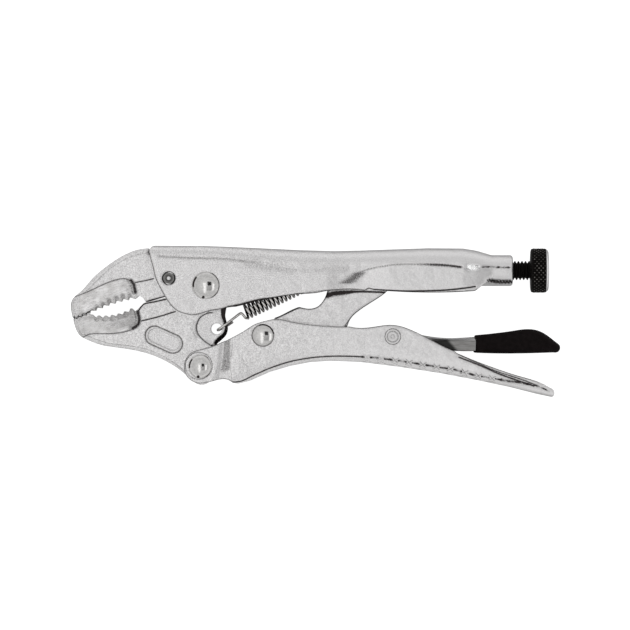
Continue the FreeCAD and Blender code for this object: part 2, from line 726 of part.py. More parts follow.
def screw_knob():
    body = new_body("screw_knob_body")
    start, end, radius = "Sizes.knob_start", "Sizes.knob_end", "Sizes.knob_radius"
    front, rear = "Sizes.knob_front_chamfer", "Sizes.knob_rear_chamfer"
    bore = "(Sizes.spigot_radius + Sizes.running_clearance)"
    floor = f"({start} + Sizes.spigot_length + 0.3)"
    disc = f"({end} - Sizes.knob_disc_depth)"
    turned(body, "knob_turned", "Revolution",
           [(start, bore), (start, f"({radius} - {front})"), (f"({start} + {front})", radius),
            (f"({end} - {rear})", radius), (end, f"({radius} - {rear})"), (end, "Sizes.knob_disc_radius"),
            (disc, "Sizes.knob_disc_radius"), (disc, "0"), (floor, "0"), (floor, bore)], axis="H_Axis")
    return place(body, "screw_knob", "0", "Sizes.screw_axis_y")


# ---------------------------------------------------------------- spring


def jaw_spring():
    """An extension spring: hooks round the ear of the lower jaw and the handle's tab, and a
    coil between them. It lies in the middle plane, and its coil is a helix along its axis."""
    wire, coil = size("spring_wire_radius"), size("spring_coil_radius")
    turns, pitch = size("spring_turns"), size("spring_pitch")
    slope = math.radians(size("spring_slope"))
    along = Vector(math.cos(slope), math.sin(slope), 0)
    start = Vector(size("spring_start_x"), size("spring_start_y"), 0)
    helix = Part.makeHelix(pitch, pitch * turns, coil)
    profile = Part.Wire(Part.makeCircle(wire, Vector(coil, 0, 0), Vector(0, 1, 0)))
    coils = Part.Wire(helix).makePipeShell([profile], True, True)
    turn = Rotation(Vector(0, 0, 1), along)
    coils.Placement = Placement(start, turn)
    rear = Vector(size("tab_x"), start.y + (size("tab_x") - start.x) * math.tan(slope), 0)
    hook = Vector(8.72, -20.44, 0)
    pieces = [coils]
    front_way = (start - hook).normalize()
    ends = ((hook, size("hook_radius"), front_way), (rear, size("rear_hook_radius"), along.negative()))
    for centre, radius, way in ends:
        across = way.cross(Vector(0, 0, 1))
        pieces.append(Part.makeTorus(radius, wire, centre, across))
    near = coils.Placement.multVec(Vector(coil, 0, 0))
    far = coils.Placement.multVec(Vector(coil, 0, pitch * turns))
    front_edge = hook + front_way * size("hook_radius")
    rear_edge = rear - along * size("rear_hook_radius")
    for a, b in ((front_edge, near), (rear_edge, far)):
        leg = b - a
        pieces.append(Part.makeCylinder(wire, leg.Length, a, leg))
        pieces.append(Part.makeSphere(wire, a))
        pieces.append(Part.makeSphere(wire, b))
    whole = doc.addObject("Part::Feature", "jaw_spring_shape")
    whole.Shape = pieces[0].multiFuse(pieces[1:])
    return place(whole, "jaw_spring")


# ---------------------------------------------------------------- the assembly


def main():
    nodes = [fixed_handle(), fixed_jaw(), fixed_jaw_pin()]
    nodes += rivets()
    nodes += [lower_jaw(), lower_handle(), toggle_link(), release_lever(), lever_sleeve()]
    nodes += [adjusting_screw(), screw_knob(), jaw_spring()]
    doc.recompute()
    for thing in doc.Objects:
        if "Invalid" in thing.State or "Error" in thing.State:
            raise ValueError(f"{thing.Name} ({thing.Label}) failed: {thing.State}")
    for node in nodes:
        shape = node.Shape
        if shape.isNull() or not shape.isValid() or not shape.Solids:
            raise ValueError(f"{node.Label} has no valid solid")
        print(node.Label, len(shape.Solids), round(shape.Volume, 1), shape.BoundBox)
    os.makedirs("parts", exist_ok=True)
    for node in nodes:
        node.Shape.exportStep(f"parts/{node.Label}.step")


main()
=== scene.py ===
import json
import math

import bmesh
import bpy
import numpy as np
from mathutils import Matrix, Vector
from mathutils.kdtree import KDTree


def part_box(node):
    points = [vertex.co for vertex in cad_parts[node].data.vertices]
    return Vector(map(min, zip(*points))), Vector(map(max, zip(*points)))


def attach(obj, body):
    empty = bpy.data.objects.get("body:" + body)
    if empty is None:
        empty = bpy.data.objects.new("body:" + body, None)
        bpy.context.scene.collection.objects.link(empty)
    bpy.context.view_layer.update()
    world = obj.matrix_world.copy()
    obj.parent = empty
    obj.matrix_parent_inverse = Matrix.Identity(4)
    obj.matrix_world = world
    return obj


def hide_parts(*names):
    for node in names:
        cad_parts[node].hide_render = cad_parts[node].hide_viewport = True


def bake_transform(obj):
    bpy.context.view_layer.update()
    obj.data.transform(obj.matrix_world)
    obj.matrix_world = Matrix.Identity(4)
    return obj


# Curved-jaw locking pliers on a pale floor, seen from straight above. The outlines are
# measured in millimetres from the main pivot, X towards the knob and Y towards the fixed
# handle, with z = 0 on the middle plane of the sheet metal; at() turns them into the frame.

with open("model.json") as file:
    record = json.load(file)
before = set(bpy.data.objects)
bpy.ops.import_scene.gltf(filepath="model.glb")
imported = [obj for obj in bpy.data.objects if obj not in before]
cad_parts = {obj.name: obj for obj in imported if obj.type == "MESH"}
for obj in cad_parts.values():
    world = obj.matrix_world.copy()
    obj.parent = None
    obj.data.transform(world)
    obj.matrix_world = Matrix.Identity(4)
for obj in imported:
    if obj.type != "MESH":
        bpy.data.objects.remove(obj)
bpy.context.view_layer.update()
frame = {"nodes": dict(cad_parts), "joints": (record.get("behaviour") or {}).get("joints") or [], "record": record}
MM = 0.001
JOINTS = {joint["name"]: joint for joint in frame["joints"]}
MAIN_PIVOT = Vector(JOINTS["jaw_pivot"]["pos_m"])
ORIGIN = np.array(MAIN_PIVOT)


def at(x, y, z=0.0):
    """A place in the frame, in metres, from millimetres about the main pivot."""
    return MAIN_PIVOT + Vector((x, y, z)) * MM


def about_pivot(place):
    """Millimetres about the main pivot, from a place in the frame."""
    return (Vector(place) - MAIN_PIVOT) / MM


KNUCKLE = about_pivot(JOINTS["handle_pivot"]["pos_m"])
LINK_PIVOT = about_pivot(JOINTS["link_pivot"]["pos_m"])
LEVER_PIVOT = about_pivot(JOINTS["release_lever_pivot"]["pos_m"])
SCREW_Y = about_pivot(JOINTS["knob_turn"]["pos_m"]).y
SCREW_PITCH = 2 * math.pi / frame["record"]["behaviour"]["couplings"][2]["ratio"] / MM


def cad_range(node, axis):
    """The least and most of a CAD node along an axis, in millimetres about the main pivot."""
    low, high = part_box(node)
    return about_pivot(low)[axis], about_pivot(high)[axis]


# ---------- camera, light and floor

CAMERA_CENTRE = (56.8, -15.4)
CAMERA_HEIGHT = 2736.0
CAMERA_LENS = 300.0
FLOOR_SIZE = 3.0
FLOOR_GLOW = 0.95
KEY_SIZE = (0.5, 0.4)
KEY_ENERGY = 1.5
SKY = ((0.0, 0.22), (0.16, 0.34), (0.33, 0.76), (0.50, 0.90),
       (0.64, 0.84), (0.80, 0.64), (0.90, 0.70), (0.975, 0.80))
WINDOW_SOFTNESS = 0.05
# Each window: its limits as slopes in x and in y, and how much brighter it is than the sky.
WINDOWS = (
    ((0.15, 0.55), (-0.02, 0.38), -0.98),
    ((-0.23, 0.01), (-0.85, 0.24), 0.60),
    ((0.68, 1.00), (-0.60, 0.22), 0.85),
    ((0.10, 0.60), (-0.55, -0.06), -0.42),
)


def add_object(name, data):
    piece = bpy.data.objects.new(name, data)
    bpy.context.scene.collection.objects.link(piece)
    return piece


def make_camera():
    data = bpy.data.cameras.new("camera")
    data.lens = CAMERA_LENS
    data.sensor_width = 36.0
    camera = add_object("camera", data)
    camera.location = at(*CAMERA_CENTRE, CAMERA_HEIGHT)
    bpy.context.scene.camera = camera


def make_floor():
    mesh = bpy.data.meshes.new("floor")
    half = FLOOR_SIZE / 2
    corners = [(-half, -half, 0), (half, -half, 0), (half, half, 0), (-half, half, 0)]
    mesh.from_pydata(corners, [], [(0, 1, 2, 3)])
    floor = add_object("floor", mesh)
    floor.visible_glossy = False
    material, shader, _ = new_material("pale_floor", (0.3, 0.3, 0.3), 0.0, 0.8)
    shader.inputs["Emission Color"].default_value = (1, 1, 1, 1)
    shader.inputs["Emission Strength"].default_value = FLOOR_GLOW
    mesh.materials.append(material)


def math_node(tree, operation, *inputs, clamp=False):
    """The result of a math node; each input is a number or a socket."""
    node = tree.nodes.new("ShaderNodeMath")
    node.operation = operation
    node.use_clamp = clamp
    for socket, value in zip(node.inputs, inputs):
        if isinstance(value, (int, float)):
            socket.default_value = value
        else:
            tree.links.new(value, socket)
    return node.outputs[0]


def mapped(tree, value, low, high, from_low=0.3, from_high=0.7, curve="LINEAR"):
    """A value's range, from_low to from_high, spread between low and high."""
    ramp = tree.nodes.new("ShaderNodeMapRange")
    ramp.interpolation_type = curve
    limits = {"From Min": from_low, "From Max": from_high, "To Min": low, "To Max": high}
    for name, number in limits.items():
        ramp.inputs[name].default_value = number
    tree.links.new(value, ramp.inputs["Value"])
    return ramp.outputs["Result"]


def sky_window(tree, slopes, limits):
    """A soft rectangle in the sky: 1 inside the limits of the x and y slopes, 0 outside."""
    shares = []
    for slope, (low, high) in zip(slopes, limits):
        away = math_node(tree, "ABSOLUTE", math_node(tree, "SUBTRACT", slope, (low + high) / 2))
        half = (high - low) / 2
        outer, inner = half + WINDOW_SOFTNESS, half - WINDOW_SOFTNESS
        shares.append(mapped(tree, away, 0, 1, outer, inner, "SMOOTHSTEP"))
    return math_node(tree, "MULTIPLY", *shares)


def make_studio():
    """A white tent, darker below, with a few brighter and darker panels for the domes to show."""
    world = bpy.data.worlds.new("studio")
    bpy.context.scene.world = world
    world.use_nodes = True
    tree = world.node_tree
    nodes, links = tree.nodes, tree.links
    background = nodes["Background"]
    coordinates = nodes.new("ShaderNodeTexCoord")
    split = nodes.new("ShaderNodeSeparateXYZ")
    links.new(coordinates.outputs["Generated"], split.inputs[0])
    ramp = nodes.new("ShaderNodeValToRGB")
    ramp.color_ramp.interpolation = "EASE"
    for i, (where, value) in enumerate(SKY):
        stop = ramp.color_ramp.elements[i] if i < 2 else ramp.color_ramp.elements.new(where)
        stop.position = where
        stop.color = (value, value, value, 1)
    links.new(math_node(tree, "MULTIPLY_ADD", split.outputs["Z"], 0.5, 0.5), ramp.inputs[0])
    sky = ramp.outputs["Color"]
    depth = math_node(tree, "MAXIMUM", split.outputs["Z"], 0.05)
    slopes = [math_node(tree, "DIVIDE", split.outputs[axis], depth) for axis in ("X", "Y")]
    for x_limits, y_limits, strength in WINDOWS:
        share = sky_window(tree, slopes, (x_limits, y_limits))
        product = nodes.new("ShaderNodeVectorMath")
        product.operation = "SCALE"
        links.new(sky, product.inputs[0])
        links.new(math_node(tree, "MULTIPLY_ADD", share, strength, 1.0), product.inputs["Scale"])
        sky = product.outputs[0]
    links.new(sky, background.inputs["Color"])
    background.inputs["Strength"].default_value = 1.0
    key = bpy.data.lights.new("key", "AREA")
    key.shape = "RECTANGLE"
    key.size, key.size_y = KEY_SIZE
    key.energy = KEY_ENERGY
    lamp = add_object("key", key)
    lamp.visible_glossy = False
    lamp.location = at(-60, 330, 620)
    lamp.rotation_euler = (at(60, -15) - lamp.location).to_track_quat("-Z", "Y").to_euler()
    bpy.context.scene.view_settings.view_transform = "Standard"


# ---------- materials


def new_material(name, colour, metallic, roughness):
    """A principled material; returns it, its shader and its node tree."""
    material = bpy.data.materials.new(name)
    material.use_nodes = True
    shader = material.node_tree.nodes["Principled BSDF"]
    shader.inputs["Base Color"].default_value = (*colour, 1)
    shader.inputs["Metallic"].default_value = metallic
    shader.inputs["Roughness"].default_value = roughness
    return material, shader, material.node_tree


def noise(tree, size, detail=2.0, stretch=(1, 1, 1), turn=0.0):
    """A noise whose blotches are about size millimetres, drawn out by stretch, turned in degrees."""
    coordinates = tree.nodes.new("ShaderNodeTexCoord")
    rotate = tree.nodes.new("ShaderNodeMapping")
    rotate.inputs["Rotation"].default_value = (0, 0, math.radians(-turn))
    mapping = tree.nodes.new("ShaderNodeMapping")
    mapping.inputs["Scale"].default_value = [1 / (size * MM * s) for s in stretch]
    texture = tree.nodes.new("ShaderNodeTexNoise")
    texture.inputs["Scale"].default_value = 1.0
    texture.inputs["Detail"].default_value = detail
    tree.links.new(coordinates.outputs["Object"], rotate.inputs[0])
    tree.links.new(rotate.outputs[0], mapping.inputs[0])
    tree.links.new(mapping.outputs[0], texture.inputs["Vector"])
    return texture.outputs["Fac"]


def blended(tree, share, first, second):
    """A colour between two, each a colour or a socket, by a share."""
    mix = tree.nodes.new("ShaderNodeMix")
    mix.data_type = "RGBA"
    tree.links.new(share, mix.inputs["Factor"])
    for socket, colour in ((mix.inputs["A"], first), (mix.inputs["B"], second)):
        if isinstance(colour, tuple):
            socket.default_value = (*colour, 1)
        else:
            tree.links.new(colour, socket)
    return mix.outputs["Result"]


def two_tone(tree, value, first, second):
    """Two colours mixed by the middle of a noise."""
    return blended(tree, mapped(tree, value, 0, 1), first, second)


def plug_in(tree, shader, colour, roughness, *layers):
    """Give a shader its colour, its roughness and bumps of (height socket, depth in millimetres)."""
    tree.links.new(colour, shader.inputs["Base Color"])
    if roughness:
        tree.links.new(roughness, shader.inputs["Roughness"])
    normal = None
    for height, depth in layers:
        bump = tree.nodes.new("ShaderNodeBump")
        bump.inputs["Distance"].default_value = depth * MM
        tree.links.new(height, bump.inputs["Height"])
        if normal:
            tree.links.new(normal, bump.inputs["Normal"])
        normal = bump.outputs["Normal"]
    tree.links.new(normal, shader.inputs["Normal"])


def groove_value(tree):
    """What the shaping left on the mesh: 1 where dirt and painted shade make it darkest, -1 where painted
    highlights and rubbed edges make it brightest.
    """
    attribute = tree.nodes.new("ShaderNodeAttribute")
    attribute.attribute_name = "groove"
    return attribute.outputs["Fac"]


def wear_and_highlight(tree):
    """How bright a place is painted, 0 to 1: rubbed edges and painted highlights."""
    return mapped(tree, groove_value(tree), 1, 0, -1, 0)


def dirt_and_shade_share(tree):
    """How dark a place is painted, 0 to 1: dirt and painted shade."""
    return mapped(tree, groove_value(tree), 0, 1, 0, 1)


def dirt_and_shade(tree, low, high):
    """How dark a place is painted with dirt and shade, 0 to 1: solid where it is darkest, specks where it is
    faint.
    """
    specks = mapped(tree, noise(tree, 0.36, 1.0), low - 1, high - 1)
    groove = groove_value(tree)
    spotted = math_node(tree, "MULTIPLY_ADD", groove, 2.0, specks, clamp=True)
    return math_node(tree, "MULTIPLY_ADD", groove, 0.3, spotted, clamp=True)


def wear_dirt_and_painted_light(tree, colour, share, dark=(0.03, 0.025, 0.025)):
    """A colour that is white where an edge is rubbed and where a highlight is painted, and dark by a share of dirt
    and painted shade.
    """
    return blended(tree, share, blended(tree, wear_and_highlight(tree), colour, (1.0, 1.0, 1.0)), dark)


BLACK_SPECULAR = 0.05
# The nickel's grain fades between these two places along the frame's x, by this share.
CALM_FROM_TO = (-0.03, 0.04)
CALM_SHARE = 0.68


def nickel_plate():
    """Satin nickel over a rough surface: fine grain, soft mottling, dark lines of dirt and painted shade, and
    painted highlights.
    """
    material, shader, tree = new_material("nickel_plate", (0.8, 0.79, 0.78), 0.92, 0.36)
    mottle = noise(tree, 1.6, 3.0)
    grain = noise(tree, 0.55, 2.0)
    colour = two_tone(tree, grain, (0.55, 0.54, 0.54), (0.95, 0.94, 0.94))
    place = tree.nodes.new("ShaderNodeTexCoord").outputs["Object"]
    split = tree.nodes.new("ShaderNodeSeparateXYZ")
    tree.links.new(place, split.inputs[0])
    calm = mapped(tree, split.outputs["X"], 0, CALM_SHARE, *CALM_FROM_TO)
    colour = blended(tree, calm, colour, (0.765, 0.755, 0.755))
    colour = wear_dirt_and_painted_light(tree, colour, dirt_and_shade(tree, 0.12, 0.88))
    satin = blended(tree, wear_and_highlight(tree), mapped(tree, mottle, 0.28, 0.44), (0.13, 0.13, 0.13))
    bumps = ((noise(tree, 6.0), 0.25), (mottle, 0.06), (grain, 0.05), (noise(tree, 0.3), 0.03))
    plug_in(tree, shader, colour, satin, *bumps)
    return material


def polished_cheek():
    """The ground cheek of a jaw, with fine streaks along it."""
    material, shader, tree = new_material("polished_cheek", (0.8, 0.8, 0.8), 0.95, 0.3)
    streaks = noise(tree, 0.42, 2.0, (8, 1, 1), 16.0)
    cloud = noise(tree, 5.0, 2.0)
    colour = two_tone(tree, streaks, (0.50, 0.49, 0.49), (0.95, 0.94, 0.94))
    colour = blended(tree, mapped(tree, cloud, 0.5, 0), colour, (0.36, 0.35, 0.34))
    colour = wear_dirt_and_painted_light(tree, colour, dirt_and_shade(tree, 0.3, 0.7))
    gloss = mapped(tree, streaks, 0.22, 0.38)
    plug_in(tree, shader, colour, gloss, (noise(tree, 9.0), 0.5), (streaks, 0.03))
    return material


def polished_rivet():
    """Bright rivet heads with faint scuffs."""
    material, shader, tree = new_material("polished_rivet", (0.76, 0.75, 0.74), 1.0, 0.1)
    scuffs = noise(tree, 0.8, 4.0)
    colour = two_tone(tree, scuffs, (0.62, 0.61, 0.60), (0.78, 0.77, 0.76))
    colour = wear_dirt_and_painted_light(tree, colour, dirt_and_shade(tree, 0.4, 0.6), (0.035, 0.03, 0.03))
    plug_in(tree, shader, colour, mapped(tree, scuffs, 0.05, 0.14), (noise(tree, 3.0), 0.05))
    return material


def dark_steel():
    """Grey steel, drawn along the lever."""
    material, shader, tree = new_material("dark_steel", (0.24, 0.235, 0.23), 0.9, 0.38)
    drawn = noise(tree, 0.6, 3.0, (9, 1, 1))
    colour = two_tone(tree, drawn, (0.20, 0.195, 0.19), (0.33, 0.325, 0.32))
    colour = wear_dirt_and_painted_light(tree, colour, dirt_and_shade_share(tree), (0.008, 0.008, 0.008))
    plug_in(tree, shader, colour, mapped(tree, drawn, 0.3, 0.45), (drawn, 0.03))
    return material


def black_oxide():
    """Black oxide, with grey highlights painted on the points of the knurl."""
    material, shader, tree = new_material("black_oxide", (0.012, 0.011, 0.01), 0.0, 0.3)
    shader.inputs["Specular IOR Level"].default_value = BLACK_SPECULAR
    film = noise(tree, 0.7, 3.0)
    colour = two_tone(tree, film, (0.0015, 0.001, 0.001), (0.005, 0.004, 0.0035))
    colour = blended(tree, wear_and_highlight(tree), colour, (0.33, 0.31, 0.29))
    plug_in(tree, shader, colour, mapped(tree, film, 0.26, 0.42), (film, 0.03))
    return material


def black_vinyl():
    """Dull dipped vinyl."""
    material, shader, tree = new_material("black_vinyl", (0.006, 0.004, 0.004), 0.0, 0.5)
    shader.inputs["Specular IOR Level"].default_value = BLACK_SPECULAR
    skin = noise(tree, 2.2, 3.0)
    colour = two_tone(tree, skin, (0.003, 0.002, 0.002), (0.007, 0.005, 0.005))
    gloss = mapped(tree, skin, 0.4, 0.55)
    plug_in(tree, shader, colour, gloss, (skin, 0.1), (noise(tree, 0.35), 0.015))
    return material


def spring_wire():
    """Bright drawn wire, with painted shade on the inner side of the coil."""
    material, shader, tree = new_material("spring_wire", (0.62, 0.6, 0.58), 1.0, 0.25)
    drawn = noise(tree, 0.4, 2.0)
    colour = two_tone(tree, drawn, (0.55, 0.53, 0.51), (0.85, 0.83, 0.81))
    colour = blended(tree, dirt_and_shade_share(tree), colour, (0.006, 0.005, 0.005))
    plug_in(tree, shader, colour, None, (drawn, 0.02))
    return material


# ---------- shaping


def smoothstep(low, high, value):
    t = np.clip((value - low) / (high - low), 0, 1)
    return t * t * (3 - 2 * t)


def bell(distance, width):
    """1 at no distance, falling off softly over a width."""
    return np.exp(-((distance / width) ** 2))


def plateau(value, rise, top, shelf, end):
    """0 up to rise, 1 from top to shelf, and 0 again from end on."""
    return smoothstep(rise, top, value) * smoothstep(end, shelf, value)


def smooth_path(points, step=0.5):
    """Points along a Catmull-Rom curve through a few points."""
    p = np.array([points[0], *points, points[-1]], float)
    out = []
    for a, b, c, d in zip(p, p[1:], p[2:], p[3:]):
        count = max(2, int(np.linalg.norm(c - b) / step))
        for t in np.linspace(0, 1, count, endpoint=False):
            out.append(0.5 * (2 * b + (c - a) * t + (2 * a - 5 * b + 4 * c - d) * t**2
                              + (3 * b - a - 3 * c + d) * t**3))
    out.append(p[-1])
    return np.array(out)


def from_path(xy, path):
    """Each point's distance from a path, the length along it, and its signed side."""
    best = np.full(len(xy), 1e9)
    along = np.zeros(len(xy))
    side = np.zeros(len(xy))
    travelled = 0.0
    for a, b in zip(path, path[1:]):
        step = b - a
        length = np.linalg.norm(step)
        if length < 1e-9:
            continue
        t = np.clip(((xy - a) @ step) / length**2, 0, 1)
        gap = xy - a - t[:, None] * step
        distance = np.linalg.norm(gap, axis=1)
        closer = distance < best
        best[closer] = distance[closer]
        along[closer] = travelled + t[closer] * length
        side[closer] = np.sign(step[0] * gap[closer, 1] - step[1] * gap[closer, 0])
        travelled += length
    return best, along, side


def ripple(xy, size, seed):
    """A repeatable smooth random field of waves about size millimetres long, -1 to 1."""
    rng = np.random.default_rng(seed)
    total = np.zeros(len(xy))
    for _ in range(7):
        angle, phase = rng.uniform(0, 2 * np.pi, 2)
        wave = 2 * np.pi / (size * rng.uniform(0.7, 1.5))
        total += np.sin(wave * (xy[:, 0] * np.cos(angle) + xy[:, 1] * np.sin(angle)) + phase)
    return total / 3.5


def rows(collection, name):
    """A vector of each item of a mesh, as the rows of an array."""
    values = np.empty(len(collection) * 3)
    collection.foreach_get(name, values)
    return values.reshape(-1, 3)


def store_dirt_and_light(mesh, values):
    """Store dirt and painted shade (up to 1), and rubbing and painted highlights (down to -1), per vertex."""
    attribute = mesh.attributes.get("groove") or mesh.attributes.new("groove", "FLOAT", "POINT")
    attribute.data.foreach_set("value", np.clip(values, -1, 1).astype(np.float32))


class Shape:
    """A copy of a CAD node as a fine even mesh, to be pressed and grooved, both sides alike."""

    def __init__(self, node, name, voxel, smoothing):
        mesh = frame["nodes"][node].data.copy()
        mesh.materials.clear()
        work = bmesh.new()
        work.from_mesh(mesh)
        bmesh.ops.remove_doubles(work, verts=work.verts, dist=1e-7)
        work.to_mesh(mesh)
        work.free()
        self.node = node
        self.piece = add_object(name, mesh)
        even = self.piece.modifiers.new("even", "REMESH")
        even.mode = "VOXEL"
        even.voxel_size = voxel * MM
        soften = self.piece.modifiers.new("soften", "SMOOTH")
        soften.factor = 0.5
        soften.iterations = smoothing
        self.apply_modifiers()
        self.read()

    def apply_modifiers(self):
        depsgraph = bpy.context.evaluated_depsgraph_get()
        mesh = bpy.data.meshes.new_from_object(self.piece.evaluated_get(depsgraph))
        self.piece.modifiers.clear()
        self.piece.data = mesh

    def read(self):
        mesh = self.piece.data
        self.co = (rows(mesh.vertices, "co") - ORIGIN) / MM
        self.normal = rows(mesh.vertex_normals, "vector")
        self.side = np.where(self.co[:, 2] >= 0, 1.0, -1.0)
        self.groove = np.zeros(len(self.co))

    @property
    def xy(self):
        return self.co[:, :2]

    @property
    def outward(self):
        """1 on skin that faces away from the middle plane, 0 on inner walls and edges."""
        return smoothstep(0.15, 0.5, self.normal[:, 2] * self.side)

    def refine(self, paths, reach, least_z=0.0):
        """Halve the faces of the outer skin near some paths."""
        self.write()
        work = bmesh.new()
        work.from_mesh(self.piece.data)
        work.faces.ensure_lookup_table()
        centres = (np.array([f.calc_center_median() for f in work.faces]) - ORIGIN) / MM
        facing = np.array([f.normal.z for f in work.faces]) * np.sign(centres[:, 2])
        near = np.zeros(len(centres), bool)
        for path in paths:
            distance, _, _ = from_path(centres[:, :2], path)
            near |= distance < reach
        near &= (facing > 0.3) & (np.abs(centres[:, 2]) > least_z)
        edges = {e for i in np.flatnonzero(near) for e in work.faces[i].edges}
        bmesh.ops.subdivide_edges(work, edges=list(edges), cuts=1, use_grid_fill=True)
        work.to_mesh(self.piece.data)
        work.free()
        self.read()

    def relax(self, chosen):
        """Even out chosen vertices sideways, where folded walls were laid flat."""
        self.write()
        self.piece.vertex_groups.new(name="folded").add([int(i) for i in chosen], 1.0, "REPLACE")
        soften = self.piece.modifiers.new("soften", "SMOOTH")
        soften.vertex_group = "folded"
        soften.use_z = False
        soften.iterations = 12
        self.apply_modifiers()
        self.piece.vertex_groups.clear()
        self.read()

    def shift_edge(self, xs, shifts, edge_xs, edge_ys, reach):
        """Slide the outline near an edge up or down, fading over reach into the plate."""
        x, y = self.xy.T
        away = np.abs(y - np.interp(x, edge_xs, edge_ys))
        self.co[:, 1] += np.interp(x, xs, shifts, 0, 0) * smoothstep(reach, 0.8, away)

    def press(self, depth):
        """Move the outer skin towards the middle plane by a depth per vertex."""
        self.co[:, 2] -= self.side * depth * self.outward

    def carve(self, path, width, depth, dark=0.0, share=1.0):
        """A furrow pressed along a path and darkened by dark, with dirt and painted shade; a negative depth makes
        a ridge.
        """
        distance, _, _ = from_path(self.xy, path)
        profile = bell(distance, width) * share
        self.press(depth * profile)
        self.darken(dark * profile)

    def darken(self, amount):
        """Dirt and painted shade on the outer skin, 0 to 1 per vertex."""
        self.groove = np.maximum(self.groove, amount * self.outward)

    def brighten(self, amount):
        """A painted highlight on the outer skin, 0 to 1 per vertex, where it is not darkened."""
        clean = self.groove < 0.1
        self.groove = np.where(clean, np.minimum(self.groove, -amount * self.outward), self.groove)

    def round_edges(self, face, width, drop, where=True, least_z=0.0, dark=0.0):
        """Round the rim between a flat face at plus and minus z and the walls round it, and paint shade on the rim
        by dark.
        """
        wall = (np.abs(self.normal[:, 2]) < 0.35) & (np.abs(self.co[:, 2]) > least_z) & where
        spots = self.xy[wall]
        tree = KDTree(len(spots))
        for i, spot in enumerate(spots):
            tree.insert((*spot, 0), i)
        tree.balance()
        near_face = np.abs(self.co[:, 2]) > face - drop - 0.6
        gap = np.full(len(self.co), 1e3)
        for i in np.flatnonzero(near_face):
            gap[i] = tree.find((*self.xy[i], 0))[2]
        share = np.clip(1 - gap / width, 0, 1)
        self.co[:, 2] -= self.side * drop * share**2
        self.groove = np.maximum(self.groove, dark * smoothstep(0.75, 0.2, gap))

    def write(self):
        mesh = self.piece.data
        mesh.vertices.foreach_set("co", (self.co * MM + ORIGIN).astype(np.float32).ravel())
        store_dirt_and_light(mesh, self.groove)
        mesh.shade_smooth()
        mesh.update()

    def finish(self, body, slot, *materials):
        self.write()
        for material in materials:
            self.piece.data.materials.append(material)
        settle(self.piece, body, self.node)


def settle(piece, body, node):
    """Hang a piece on the body it rides on, and hide the CAD node it stands for."""
    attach(piece, body)
    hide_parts(node)


# ---------- upper handle

# Half the thickness over the handles' outer and inner skin.
HANDLE_FACE, HANDLE_INNER = 8.8, 6.7
HANDLE_VOXEL = 0.5
REFINE_REACH = 1.8
UPPER_CREASE = smooth_path([(-24, 15.2), (-8, 14.3), (8, 13.9), (22, 12.4), (36, 10.4), (46, 9.4)])
CROWN_SHADE = smooth_path([(22, 10.8), (36, 8.9), (50, 8.2), (62, 8.3), (74, 8.4)])
REAR_CREASE = smooth_path([(80.6, 7.0), (83.5, 8.1), (90.6, 9.7), (102.6, 11.0), (122, 10.6),
                           (132.6, 9.5)])
BARREL_CREASE = smooth_path([(142.5, 9.6), (150, 9.5), (158, 9.3)])
BARREL_SEAM = smooth_path([(147.0, 2.7), (151, 2.0), (159.6, 1.8)])
HANDLE_LIP = smooth_path([(44, -5.2), (54, -3.5), (63.4, -2.5), (70, -1.9)])
HANDLE_RIM = smooth_path([(87, -2.2), (100, -2.9), (112, -2.9), (124, -2.5), (134, -1.5),
                          (140, -0.6)])
EDGE_LIGHT = smooth_path([(28, -6.2), (39.4, -4.2), (50.5, -2.2), (61.7, -0.7), (68, -0.1)])
DIMPLE = smooth_path([(71.4, 0.2), (75.5, 2.7), (80.8, 7.3)])
SHOULDER_BLOB = (138.8, 9.4)
HANDLE_UNDER = smooth_path([(3, -13.2), (7.6, -12.6), (11.3, -11.6), (17.8, -10.3), (26.7, -8.0),
                            (42, -5.3)])
# How the lower edge is shifted: x, shifts, then the x and y of the edge.
EDGE_RISE = ((-12, -5, 1.6, 7.6, 11.3, 17.8, 26.7, 39.4, 46.8, 61.7, 68),
             (0, -0.6, -0.6, -1.6, -1.4, -0.8, 0.4, 0.8, 1.0, 0.9, 0),
             (-12, -5, 1.6, 8.2, 19.3, 30.5, 46.8, 62.4, 68),
             (-15.5, -14.2, -12.4, -10.6, -9.9, -7.7, -5.4, -3.2, -2.6))


